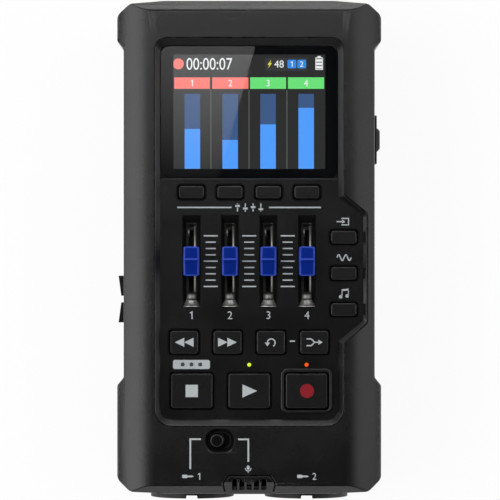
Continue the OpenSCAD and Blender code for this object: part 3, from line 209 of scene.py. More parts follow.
@finish
def moulded(tree, colour, roughness, grain, depth, shift=0.12, shine=0.5):
    """A moulded finish: grain pressed in by the tool, with roughness and colour that drift a little.

    The grain's width and depth are in millimetres, and its colour shifts by a share to either side.
    Shine is the strength of the reflection, 0.5 on bare plastic.
    """
    place = add_node(tree, "ShaderNodeTexCoord", {}).outputs["Object"]
    fine = add_node(tree, "ShaderNodeTexNoise", {
        "Vector": place, "Scale": 1 / (grain * MM), "Detail": 2.0, "Roughness": 0.6})
    # Slow drift over about 12 mm, as moulded plastic has where it was handled
    drift = add_node(tree, "ShaderNodeTexNoise", {"Vector": place, "Scale": 1 / (12 * MM), "Detail": 3.0})
    rough = add_node(tree, "ShaderNodeMapRange", {
        "Value": drift.outputs["Fac"], "From Min": 0.3, "From Max": 0.7,
        "To Min": roughness - 0.03, "To Max": roughness + 0.03})
    tint = add_node(tree, "ShaderNodeValToRGB", {"Fac": fine.outputs["Fac"]})
    for stop, position, factor in zip(tint.color_ramp.elements, (0.35, 0.65), (1 - shift, 1 + shift)):
        stop.position = position
        stop.color = shade(colour, factor)
    bump = add_node(tree, "ShaderNodeBump", {
        "Height": fine.outputs["Fac"], "Strength": 0.5, "Distance": depth * MM})
    shader = add_node(tree, "ShaderNodeBsdfPrincipled", {
        "Base Color": tint.outputs["Color"], "Roughness": rough.outputs["Result"],
        "Normal": bump.outputs["Normal"], "IOR": 1.5, "Specular IOR Level": shine})
    return shader.outputs["BSDF"]


@finish
def brushed(tree, colour, roughness, stretch=(1, 30, 1), scratch=0.25):
    """Sheet metal with rolling marks: a scratch's width in millimetres, stretched along one direction."""
    place = add_node(tree, "ShaderNodeTexCoord", {}).outputs["Object"]
    across = add_node(tree, "ShaderNodeMapping", {
        "Vector": place, "Scale": tuple(1 / (scratch * MM * s) for s in stretch)}).outputs["Vector"]
    marks = add_node(tree, "ShaderNodeTexNoise", {"Vector": across, "Scale": 1.0, "Detail": 3.0})
    rough = add_node(tree, "ShaderNodeMapRange", {
        "Value": marks.outputs["Fac"], "From Min": 0.3, "From Max": 0.7,
        "To Min": roughness - 0.08, "To Max": roughness + 0.08})
    bump = add_node(tree, "ShaderNodeBump", {
        "Height": marks.outputs["Fac"], "Strength": 0.3, "Distance": 0.01 * MM})
    shader = add_node(tree, "ShaderNodeBsdfPrincipled", {
        "Base Color": shade(colour), "Metallic": 1.0, "Roughness": rough.outputs["Result"],
        "Normal": bump.outputs["Normal"]})
    return shader.outputs["BSDF"]


@finish
def lit(tree, colour, strength):
    """A lit area, with the faint grid of the display's pixels, 320 across 45 mm, which a close view shows."""
    place = add_node(tree, "ShaderNodeTexCoord", {}).outputs["Object"]
    grid = add_node(tree, "ShaderNodeTexChecker", {
        "Vector": place, "Scale": 1 / (0.14 * MM),
        "Color1": shade(colour, 1.03), "Color2": shade(colour, 0.97)})
    glow = add_node(tree, "ShaderNodeEmission", {"Color": grid.outputs["Color"], "Strength": strength})
    return glow.outputs["Emission"]


@finish
def clear_window(tree):
    """A clear moulding with a sharp reflection of the studio."""
    place = add_node(tree, "ShaderNodeTexCoord", {}).outputs["Object"]
    # Faint wipe marks, a few millimetres long
    wipes = add_node(tree, "ShaderNodeTexNoise", {"Vector": place, "Scale": 1 / (4 * MM), "Detail": 4.0})
    rough = add_node(tree, "ShaderNodeMapRange", {
        "Value": wipes.outputs["Fac"], "From Min": 0.4, "From Max": 0.8, "To Min": 0.0, "To Max": 0.03})
    shader = add_node(tree, "ShaderNodeBsdfPrincipled", {
        "Base Color": shade("#eceef0"), "Roughness": rough.outputs["Result"],
        "IOR": 1.49, "Transmission Weight": 1.0})
    return shader.outputs["BSDF"]


def finishes():
    """Every finish by the name of the slot or piece that takes it.

    The real grain is about 0.1 mm wide and rolling marks are finer still. Most are drawn at
    0.25 to 0.5 mm, because a pixel of the render is 0.3 mm and finer ones wouldn't show.
    """
    colours, sizes, _ = settings()
    return {
        # ABS moulded against a spark-eroded tool: matt, with a fine sparkle where light grazes it
        "case_plastic": moulded(
            "abs_moulded_textured", colours.case, 0.27, sizes.grain / MM, 0.07, shine=0.46),
        # ABS moulded against a finer tool: satin, darker than the case
        "panel_plastic": moulded("abs_moulded_satin", colours.panel, 0.25, 0.3, 0.012, shine=0.39),
        # The same plastic on the panel's sloped walls, left coarser by the tool, with a lighter base colour
        # that is painted light: it goes on the walls that face the display end
        "wall_painted_light": moulded("abs_moulded_coarse", "#141415", 0.45, 0.35, 0.03),
        # The coarse plastic, as black as the panel and with little shine: painted shade on the walls that
        # look towards the socket end and those beyond the bulge
        "wall_shaded": moulded("abs_moulded_coarse_black", colours.panel, 0.45, 0.35, 0.03, shine=0.22),
        # Near-black matt plastic with almost no shine: painted shade in the selector's dish, in the hollows
        # below the panel's face and round the keys' openings, and the black in the window's near corners
        "dish_plastic": moulded("abs_moulded_matt", "#030303", 0.6, 0.3, 0.02, shine=0.12),
        # Acetal of the selector's nub: dark and close to polished, so that only its edge lights up
        "nub_plastic": moulded("acetal_moulded_black", "#050506", 0.24, 0.3, 0.004, shine=0.25),
        # The nub's edge, rubbed by fingertips: greyer and glossier, and its lighter grey is also a painted
        # highlight
        "nub_worn_and_highlight": moulded("acetal_moulded_worn", "#2a2a2b", 0.3, 0.3, 0.004, shine=0.8),
        # Silicone rubber with a sprayed satin coat: soft highlights along the edges
        "key_rubber": moulded("silicone_coated_satin", colours.keys, 0.28, 0.25, 0.012, shine=0.2),
        # The same coat rubbed glossy along the edges
        "key_worn": moulded("silicone_coated_worn", colours.keys, 0.3, 0.25, 0.008, shine=0.42),
        # Polyacetal coloured through and tumbled matt: deep blue with hardly a highlight
        "cap_blue": moulded("polyacetal_blue_matt", colours.caps, 0.5, 0.25, 0.008, 0.06, 0.04),
        # The same on the caps' rounded edges and crest, rubbed paler by fingers, and the paler blue is also a
        # painted highlight along them
        "cap_worn": moulded("polyacetal_blue_worn", colours.caps_worn, 0.45, 0.25, 0.008, 0.06, 0.2),
        # Glass-filled nylon of the sockets and sliders: dull, a little mottled
        "moulding_black": moulded("nylon_glass_filled", "#0d0d0e", 0.5, 0.35, 0.03, shine=0.4),
        # Natural PBT of the switches' and connectors' bodies: off-white and dull
        "moulding_pale": moulded("pbt_moulded_pale", "#d0d0cc", 0.5, 0.3, 0.02),
        # Epoxy board under green solder mask: glossy with a faint weave
        "board": moulded("epoxy_solder_masked", "#1f5a3a", 0.3, 0.5, 0.01),
        # Glass of the display cell, unlit and taped black round its edge: smooth and dark
        "display": moulded("float_glass_taped", "#101113", 0.35, 0.5, 0.004),
        # Nickel on rolled steel: bright, with fine rolling marks along the slot
        "sheet_metal": brushed("steel_nickel_plated", "#a9abac", 0.34),
        # Tinned steel of the fader housings' trim: duller than nickel
        "rail_metal": brushed("steel_tinned", "#b4b4b0", 0.42, (30, 1, 1)),
        # The same steel pressed into the lips, its marks drawn together by the press, with a paler base that
        # is painted light
        "lip_metal": brushed("steel_tinned_pressed", "#d8d8d4", 0.4, (30, 1, 1), 0.06),
        # Phosphor bronze of the leaf beside each lever: dull, with a grey tin wash
        "leaf_metal": brushed("bronze_tin_washed", "#848480", 0.5),
        # Steel of the housings themselves, made dark: painted shade, for they stay in the dark of their slots
        "housing_metal": brushed("steel_blacked", "#262625", 0.45),
        # Nickel-plated spring steel of the cell springs: the brightest metal, marked along the wire
        "spring_steel": brushed("spring_steel_nickel", "#b9bcc0", 0.28, (6, 6, 1)),
        # Black zinc on steel screws: dark grey with a soft gleam
        "screw_steel": brushed("steel_black_zinc", "#3c3d40", 0.4, (4, 4, 1)),
        # Stamped brass of the socket contacts: warm yellow and fairly bright
        "contact_brass": brushed("brass_stamped", "#c7a24a", 0.3, (1, 8, 1)),
        # Steel cell cans under a shrunk plain grey sleeve: satin, drawn lengthways
        "cell_can": brushed("steel_sleeved_grey", "#8f9194", 0.42, (12, 1, 12)),
        # Clear polycarbonate light pipes, lit from below
        "light_green": lit("polycarbonate_lit_green", "#d8f03c", 1.1),
        "light_red": lit("polycarbonate_lit_orange", "#ff5a1c", 1.1),
        # Cast acrylic, polished and hard coated: clear, and it mirrors the studio sharply
        "window_glass": clear_window("cast_acrylic_polished"),
        # Screen ink on the back of the window: wetted by the acrylic, so it has no shine of its own
        "mask_ink": moulded("screen_ink_black", "#17181a", 0.9, 0.3, 0.001, shine=0.0),
        # Two-part pad-printing ink: matt, with pinholes where the texture shows through
        "ink": moulded("pad_ink_pale", colours.ink, 0.6, 0.3, 0.004, 0.05, 0.3),
        # The same ink in charcoal, printed over the pale label
        "ink_dark": moulded("pad_ink_dark", "#2b2f31", 0.6, 0.3, 0.004, shift=0.05),
        # The same ink in red, on rubber: duller, because the coat drinks it in
        "ink_red": moulded("pad_ink_red", colours.record_mark, 0.55, 0.3, 0.004, 0.08, 0.15),
    }


@finish
def sweep(tree):
    """A sweep that is white to the camera and in reflections, and keeps the recorder's shadow."""
    ray = add_node(tree, "ShaderNodeLightPath", {})
    seen = add_node(tree, "ShaderNodeMath", {
        0: ray.outputs["Is Camera Ray"], 1: ray.outputs["Is Glossy Ray"]}, operation="MAXIMUM")
    seen = add_node(tree, "ShaderNodeMath", {
        0: seen.outputs[0], 1: ray.outputs["Is Transmission Ray"]}, operation="MAXIMUM")
    share = add_node(tree, "ShaderNodeMath", {0: seen.outputs[0], 1: 0.92}, operation="MULTIPLY")
    paper = add_node(tree, "ShaderNodeBsdfDiffuse", {"Color": shade("#f4f4f3")})
    white = add_node(tree, "ShaderNodeEmission", {"Color": (1, 1, 1, 1), "Strength": 1.0})
    both = add_node(tree, "ShaderNodeMixShader", {
        0: share.outputs[0], 1: paper.outputs[0], 2: white.outputs[0]})
    return both.outputs[0]


@finish
def fading_card(tree, brightness):
    """A lit card that is brighter towards its far end."""
    place = add_node(tree, "ShaderNodeTexCoord", {}).outputs["Object"]
    along = add_node(tree, "ShaderNodeSeparateXYZ", {"Vector": place})
    fade = add_node(tree, "ShaderNodeMapRange", {
        "Value": along.outputs["Y"], "From Min": 0.045, "From Max": 0.145,
        "To Min": 0.0, "To Max": brightness})
    glow = add_node(tree, "ShaderNodeEmission", {
        "Color": (1, 1, 1, 1), "Strength": fade.outputs["Result"]})
    return glow.outputs[0]


# Shapes


def place_piece(shape, name, body, material):
    """Turns a finished shape into a piece that rides on a body and takes the finish it is given."""
    mesh = bpy.data.meshes.new(name)
    shape.to_mesh(mesh)
    shape.free()
    mesh.materials.append(material)
    piece = bpy.data.objects.new(name, mesh)
    bpy.context.scene.collection.objects.link(piece)
    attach(piece, body)
    return piece


def stand_in(shape, source, material):
    """Turns a finished shape into the piece that stands for a solid."""
    body = frame["nodes"][source]["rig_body"]
    piece = place_piece(shape, f"{source}.finish", body, material)
    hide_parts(source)
    return piece


def inside(point, low, high):
    return all(low[i] <= point[i] <= high[i] for i in range(3))


def dressed(source, material, edge, zones=(), worn=None, shrink=0.0, cuts=()):
    """A copy of a solid with its sharp edges rounded, as a moulding tool leaves them.

    Each zone gives two corners of a box and the rounding of the edges inside it.
    A zone of 0 also keeps the edges that leave it sharp, so that its flat faces stay flat.
    A worn material goes on the rounded edges alone, and on the nub it is also a painted highlight. Shrinking
    draws the sides in.
    Cuts across the length keep the shading of a corner out of the long faces.
    """
    shape = bmesh.new()
    shape.from_mesh(frame["nodes"][source].data)
    # Points within 0.002 mm are one point, and faces within 0.4 degrees are one face
    bmesh.ops.remove_doubles(shape, verts=shape.verts, dist=0.002 * MM)
    bmesh.ops.dissolve_limit(
        shape, angle_limit=math.radians(0.4), verts=shape.verts, edges=shape.edges,
        use_dissolve_boundaries=False)
    for y in cuts:
        bmesh.ops.bisect_plane(
            shape, geom=[*shape.verts, *shape.edges, *shape.faces], plane_co=(0, y, 0), plane_no=(0, 1, 0))
    bmesh.ops.connect_verts_concave(shape, faces=shape.faces)
    low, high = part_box(source)
    middle = (low + high) / 2
    for corner in shape.verts:
        for i in (0, 1):
            corner.co[i] -= (corner.co[i] - middle[i]) * 2 * shrink / (high[i] - low[i])
    widest = max([edge] + [width for _, _, width in zones])
    weight = shape.edges.layers.float.new("bevel_weight_edge")
    for line in shape.edges:
        turn = math.degrees(line.calc_face_angle(0))
        width, sharp_from = edge, 180
        for near, far, own in zones:
            held = sum(inside(end.co, near, far) for end in line.verts)
            if held == 2 and own:
                width, sharp_from = own, 180
            elif held and not own:
                width, sharp_from = 0, FLAT_TURN if held == 2 else ROUNDED_TURN
        if turn > ROUNDED_TURN:
            line[weight] = width / widest
        line.smooth = turn < sharp_from
    for face in shape.faces:
        face.smooth = True
    piece = stand_in(shape, source, material)
    bevel = piece.modifiers.new("edges", "BEVEL")
    bevel.width = widest
    bevel.segments = 2
    bevel.limit_method = "WEIGHT"
    bevel.miter_outer = "MITER_ARC"
    bevel.loop_slide = False
    bevel.use_clamp_overlap = False
    if worn:
        piece.data.materials.append(worn)
        bevel.material = 1
    normals = piece.modifiers.new("normals", "WEIGHTED_NORMAL")
    normals.keep_sharp = True
    return piece


def refaced(piece, material, chosen):
    """Gives the chosen faces of a piece another material."""
    piece.data.materials.append(material)
    for face in piece.data.polygons:
        if chosen(face):
            face.material_index = len(piece.data.materials) - 1


def arc(centre, radius, start, end, steps=12):
    """Points along an arc, with its angles in degrees."""
    turns = [math.radians(start + (end - start) * i / steps) for i in range(steps + 1)]
    return [(centre[0] + radius * math.cos(t), centre[1] + radius * math.sin(t)) for t in turns]


def disc(centre, radius, steps=28):
    return arc(centre, radius, 0, 360, steps)[:-1]


def plate(centre, width, height, radius=0.0):
    """A rectangle, with round corners where a radius is given."""
    x, y = width / 2 - radius, height / 2 - radius
    corners = [(centre[0] + a, centre[1] + b, turn)
               for a, b, turn in ((x, y, 0), (-x, y, 90), (-x, -y, 180), (x, -y, 270))]
    if radius == 0:
        return [(a, b) for a, b, _ in corners]
    return [p for a, b, turn in corners for p in arc((a, b), radius, turn, turn + 90, 5)]


def frame_of(outer, inner):
    """Quads between two outlines that have as many points."""
    return [[outer[i - 1], outer[i], inner[i], inner[i - 1]] for i in range(len(outer))]


def stroke(points, width):
    """A line of even width along some points, as one outline."""
    points = [Vector(p) for p in points]
    ways = [(q - p).normalized() for p, q in zip(points, points[1:])]
    left, right = [], []
    for here, a, b in zip(points, [ways[0], *ways], [*ways, ways[-1]]):
        # The tip of a sharp turn is held back to about three times the line's half width
        mitre = max(0.35, math.sqrt((1 + a.dot(b)) / 2))
        side = Vector((-a.y - b.y, a.x + b.x)).normalized() * (width / 2) / mitre
        left.append(tuple(here + side))
        right.append(tuple(here - side))
    return left + right[::-1]


def moved(outline, by):
    return [(x + by[0], y + by[1]) for x, y in outline]


def flat_letters(text, height, centre, squeeze=1.0):
    """Faces of some figures in the plain font, as outlines, with their middle at the centre."""
    curve = bpy.data.curves.new("figures", "FONT")
    curve.body = text
    holder = bpy.data.objects.new("figures", curve)
    bpy.context.scene.collection.objects.link(holder)
    bpy.context.view_layer.update()
    mesh = bpy.data.meshes.new_from_object(holder.evaluated_get(bpy.context.evaluated_depsgraph_get()))
    xs = [v.co.x for v in mesh.vertices]
    ys = [v.co.y for v in mesh.vertices]
    scale = height / (max(ys) - min(ys))
    middle = ((max(xs) + min(xs)) / 2, (max(ys) + min(ys)) / 2)
    points = [
        (centre[0] + (x - middle[0]) * scale * squeeze, centre[1] + (y - middle[1]) * scale)
        for x, y in zip(xs, ys)]
    faces = [[points[i] for i in face.vertices] for face in mesh.polygons]
    bpy.data.objects.remove(holder)
    bpy.data.curves.remove(curve)
    bpy.data.meshes.remove(mesh)
    return faces


def figure(number, height, centre):
    """One figure, with a flag on the one, which the plain font leaves out."""
    if number != "1":
        return flat_letters(number, height, centre, 0.95)
    # The tip of the flag, its root and the foot, as shares of the height
    one = [(-0.2, 0.28), (0.07, 0.42), (0.07, -0.5)]
    return [stroke([(centre[0] + a * height, centre[1] + b * height) for a, b in one], 0.15 * height)]


def marks(name, outlines, z, body, material, slot, depth=None):
    """Flat outlines in millimetres, laid on a face at height z: as thick as ink unless a depth is given."""
    depth = depth or settings()[1].ink_depth
    shape = bmesh.new()
    for outline in outlines:
        corners = [shape.verts.new((x * MM, y * MM, z)) for x, y in outline]
        shape.faces.new(corners)
    bmesh.ops.remove_doubles(shape, verts=shape.verts, dist=0.0001 * MM)
    made = bmesh.ops.extrude_face_region(shape, geom=shape.faces[:])
    for item in made["geom"]:
        if isinstance(item, bmesh.types.BMVert):
            item.co.z += depth
    bmesh.ops.recalc_face_normals(shape, faces=shape.faces)
    return place_piece(shape, name, body, material)


def sheet(name, rows, material, thickness=0.05):
    """A thin sheet through rows of points in millimetres, smooth along its length."""
    shape = bmesh.new()
    grid = [[shape.verts.new(Vector(p) * MM) for p in row] for row in rows]
    for a, b in zip(grid, grid[1:]):
        for k in range(len(a) - 1):
            shape.faces.new((a[k], a[k + 1], b[k + 1], b[k])).smooth = True
    bmesh.ops.recalc_face_normals(shape, faces=shape.faces)
    if sum(face.normal.z for face in shape.faces) < 0:
        bmesh.ops.reverse_faces(shape, faces=shape.faces)
    bmesh.ops.solidify(shape, geom=shape.faces, thickness=thickness * MM)
    return place_piece(shape, name, "case", material)


def top_of(name):
    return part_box(name)[1].z


def broad_face(name):
    """Height of a solid's broadest face that looks up."""
    areas = {}
    for face in frame["nodes"][name].data.polygons:
        if face.normal.z > 0.999:
            height = round(face.center.z, 6)
            areas[height] = areas.get(height, 0) + face.area
    return max(areas, key=areas.get)


def middle_of(name):
    """The middle of a solid's box from above, in millimetres."""
    low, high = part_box(name)
    return ((low.x + high.x) / 2 / MM, (low.y + high.y) / 2 / MM)


# Operators


class DressCase(bpy.types.Operator):
    """Rounds and textures the shells and the battery door"""

    bl_idname = "recorder.dress_case"
    bl_label = "Case"

    def execute(self, context):
        _, sizes, _ = settings()
        look = finishes()
        low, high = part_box("front_shell")
        top = high.z
        # Boxes round the edges that differ: the dish, its near edge, the bay and the four corners
        nub = Vector((*middle_of("input_selector"), 0)) * MM
        dish = nub + Vector((-7 * MM, -6 * MM, top - 4 * MM)), nub + Vector((9 * MM, 4.6 * MM, top + MM))
        near_dish = dish[0], Vector((dish[1].x, nub.y - 1.5 * MM, dish[1].z))
        bay = Vector((-30 * MM, -54.5 * MM, top - 4 * MM)), Vector((36 * MM, 66 * MM, top + MM))
        wide, long, deep, beyond = 16 * MM, 12 * MM, 9 * MM, 4 * MM
        corners = [
            (Vector((x, y, top - deep)), Vector((x + wide, y + long, top + MM)), sizes.corner_edge)
            for x in (low.x, high.x - wide) for y in (low.y, high.y - long)]
        shell = dressed(
            "front_shell", look["case_plastic"], sizes.case_edge,
            zones=[*corners, (*bay, sizes.rim_edge), (*dish, sizes.rim_edge), (*near_dish, sizes.dish_edge)],
            cuts=(low.y + long, low.y + long + beyond, high.y - long - beyond, high.y - long))
        sunk = top - 0.1 * MM
        # Painted shade: the dish's sunken faces take the near-black matt plastic
        refaced(shell, look["dish_plastic"], lambda face: inside(face.center, *dish) and face.center.z < sunk)
        dressed("rear_shell", look["case_plastic"], sizes.case_edge)
        dressed("battery_door", look["case_plastic"], sizes.door_edge)
        return {"FINISHED"}


class DressPanel(bpy.types.Operator):
    """Rounds and textures the control panel, the microphone grille and the power slider's plate"""

    bl_idname = "recorder.dress_panel"
    bl_label = "Control panel"

    def execute(self, context):
        _, sizes, _ = settings()
        look = finishes()
        low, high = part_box("control_panel")
        face_z = broad_face("control_panel")
        above, below = face_z + 0.05 * MM, face_z - 0.05 * MM
        key = Vector((*middle_of("record_key"), 0)) * MM
        guard = (key + Vector((-12 * MM, -10 * MM, face_z + 0.1 * MM)),
                 key + Vector((12 * MM, 10 * MM, face_z + 1.5 * MM)))
        panel = dressed(
            "control_panel", look["panel_plastic"], sizes.panel_edge,
            zones=[(low, (high.x, high.y, above), 0), (*guard, sizes.guard_edge)])
        bulge_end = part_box("side_key_3")[0].y - 4 * MM

        def wall(face):
            """Whether a face is one of the bay's sloped walls."""
            return 0.2 < face.normal.z < 0.9 and face.center.z > above

        def black(face):
            """Whether a wall looks towards the socket end, or to the left beyond the bulge, and so takes the
            painted shade.
            """
            return face.normal.y <= -0.15 or (
                face.normal.x < -0.3 and face.normal.y < 0.15 and face.center.y < bulge_end)

        # Painted light and shade: walls that face the display end take the lighter coarse plastic, the rest
        # the black one
        refaced(panel, look["wall_painted_light"], lambda face: wall(face) and not black(face))
        refaced(panel, look["wall_shaded"], lambda face: wall(face) and black(face))
        # Painted shade: faces below the panel's face, in the fader slots and openings, take the near-black
        # matt plastic
        refaced(panel, look["dish_plastic"], lambda face: face.normal.z < 0.95 and face.center.z < below)
        self.edge_window(look, face_z)
        for source in ("mic_grille", "power_plate"):
            dressed(source, look["panel_plastic"], sizes.panel_edge)
        return {"FINISHED"}

    def edge_window(self, look, face_z):
        """A low sill along the window's near edge, and the window's black in its two near corners."""
        low, high = (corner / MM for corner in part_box("display_window"))
        gap, radius = 0.12, 2.5
        edge, top = low.y - gap, face_z / MM
        # Points along the sill, close together near its ends, and its profile: how far across, how high
        along = (low.x - 0.1, low.x + 0.3, high.x - 0.3, high.x + 0.1)
        profile = ((0.02, 0.005), (-0.14, 0.035), (-0.32, 0.062), (-0.42, 0.02))
        rows = [[(x, edge + d, top + z) for x in along] for d, z in profile]
        sheet("panel.sill", rows, look["panel_plastic"], FILM / MM)
        corners = []
        for side, x in ((1, low.x - gap), (-1, high.x + gap)):
            bend = arc((x + side * radius, edge + radius), radius, 270, 270 - side * 90)
            corners.append([(x, edge), *bend])
        marks("panel.window_corners", corners, face_z + PRINT_GAP, "case", look["dish_plastic"],
              "panel_plastic", FILM)


class DressControls(bpy.types.Operator):
    """Rounds and finishes the keys, the lights, the faders and the sliders"""

    bl_idname = "recorder.dress_controls"
    bl_label = "Keys and faders"

    def execute(self, context):
        _, sizes, _ = settings()
        look = finishes()
        for source in KEYS:
            dressed(source, look["key_rubber"], sizes.key_edge, worn=look["key_worn"],
                    shrink=sizes.key_shrink)
        for source in ("volume_up_key", "volume_down_key"):
            dressed(source, look["key_rubber"], sizes.key_edge)
        # The nub's rounded edge takes the lighter grey: wear and a painted highlight
        dressed("input_selector", look["nub_plastic"], sizes.nub_edge, worn=look["nub_worn_and_highlight"])
        dressed("power_slider", look["moulding_black"], sizes.key_edge)
        for source, slot in SLOTS.items():
            if slot in ("light_green", "light_red"):
                dressed(source, look[slot], sizes.light_edge, shrink=sizes.light_shrink)
        for i in FADERS:
            self.cap(f"fader_cap_{i}", look, sizes.cap_edge / MM)
            dressed(f"fader_lever_{i}", look["sheet_metal"], sizes.lever_edge)
        self.trim_slots(look)
        return {"FINISHED"}

    def cap(self, source, look, edge):
        """A fader cap: pillowed edges, a crest across it and a hollow for the finger before the crest."""
        low, high = (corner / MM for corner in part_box(source))
        centre = (low + high) / 2
        half_l, half_w = (high.y - low.y) / 2, (high.x - low.x) / 2
        # Radius of the corners seen from above, how far the sides lean in, and how high they start to
        corner, lean, skirt = 0.7, 0.22, 0.8
        crest = (0.35, 0.85)
        # How far along the cap, and how far below its top
        outline = [(-4.4, 0.62), (-0.75, 0.92), (-0.6, 0.9), (-0.3, 0.7), (0.0, 0.36),
                   (crest[0], 0.0), (crest[1], 0.0), (4.4, 0.45)]
        ends = {side * (half_l - edge * (1 - math.sin(math.radians(turn))))
                for side in (-1, 1) for turn in range(0, 91, 15)}
        rows = sorted({d for d, _ in outline if abs(d) < half_l - edge} | ends)

        def rolled(d, radius):
            """How far a round corner at the cap's end has drawn in."""
            past = max(0, abs(d) - half_l + radius)
            return radius - math.sqrt(max(0, radius ** 2 - past ** 2))

        shape = bmesh.new()
        grid = []
        for d in rows:
            before, after = next((p, q) for p, q in zip(outline, outline[1:]) if p[0] <= d <= q[0])
            top = high.z - before[1] + (before[1] - after[1]) * (d - before[0]) / (after[0] - before[0])
            top -= rolled(d, edge)
            wide = half_w - rolled(d, corner)
            shoulder = [(wide - lean - edge + a, top - edge + b) for a, b in arc((0, 0), edge, 0, 90, 4)]
            side = [(wide, low.z), (wide, low.z + skirt)] + shoulder
            section = side + [(-a, b) for a, b in reversed(side)]
            grid.append([shape.verts.new(Vector((centre.x + a, centre.y + d, b)) * MM) for a, b in section])
        for here, there, p, q in zip(rows, rows[1:], grid, grid[1:]):
            d = (here + there) / 2
            for k in range(len(p) - 1):
                face = shape.faces.new((p[k], p[k + 1], q[k + 1], q[k]))
                face.smooth = True
                flat = k == len(p) // 2 - 1 and abs(d) < half_l - edge and not crest[0] < d < crest[1]
                # The rounded edges and the crest take the paler blue: wear and a painted highlight
                face.material_index = 0 if flat or k in (0, len(p) - 2) else 1
        for end in (grid[0], grid[-1]):
            shape.faces.new(end)
        shape.faces.new([row[0] for row in grid] + [row[-1] for row in reversed(grid)])
        bmesh.ops.recalc_face_normals(shape, faces=shape.faces)
        for line in shape.edges:
            line.smooth = line.calc_face_angle(0) < math.radians(25)
        piece = stand_in(shape, source, look["cap_blue"])
        piece.data.materials.append(look["cap_worn"])

    def trim_slots(self, look):
        """The metal in each fader's slot: a rail, a leaf beside the lever and two lips at the near end."""
        panel_z = broad_face("control_panel") / MM
        sheet_z = panel_z - 2.1
        # Each row of a lip: how far along the slot, how far below the panel, half the width
        lips = {
            "upper": ("leaf_metal", [
                (-9.6, 1.8, 1.45), (-9.85, 1.55, 1.45), (-10.2, 1.36, 1.45), (-10.7, 1.27, 1.45),
                (-11.2, 1.18, 1.45)]),
            # The near lip takes the paler steel, which paints light on it
            "lower": ("lip_metal", [
                (-11.45, 1.1, 1.5), (-11.95, 1.02, 1.75), (-12.35, 0.92, 2.0), (-12.7, 0.76, 2.22),
                (-13.05, 0.5, 2.44), (-13.4, 0.2, 2.62)])}
        for i in FADERS:
            x, y = middle_of(f"fader_cap_{i}")
            bow = arc((1.05, sheet_z), 0.4, 180, 0, 8)
            rail = [[(x + a, y + end, b) for a, b in bow] for end in (-9.2, 11.3)]
            sheet(f"fader_rail_{i}", rail, look["rail_metal"])
            leaf = [[(x - 1.4, y + left, sheet_z + 0.05), (x - 0.68, y + right, sheet_z + 0.35)]
                    for left, right in ((9.6, 9.6), (8.3, 7.2))]
            sheet(f"fader_leaf_{i}", leaf, look["leaf_metal"])
            for name, (metal, rows) in lips.items():
                lip = [[(x - w, y + d, panel_z - z), (x + w, y + d, panel_z - z)] for d, z, w in rows]
                sheet(f"fader_lip_{name}_{i}", lip, look[metal])


class DressInside(bpy.types.Operator):
    """Finishes what lies inside the case or in its openings"""

    bl_idname = "recorder.dress_inside"
    bl_label = "Inside and sockets"

    def execute(self, context):
        _, sizes, _ = settings()
        look = finishes()
        for name, solid in frame["nodes"].items():
            solid.data.materials.clear()
            # The fader housings take the dark steel, painted shade for their slots
            solid.data.materials.append(look["housing_metal" if name == "fader_housings" else SLOTS[name]])
        for source in ("input_socket_a", "input_socket_b", "phones_socket"):
            dressed(source, look["moulding_black"], sizes.socket_edge)
        return {"FINISHED"}


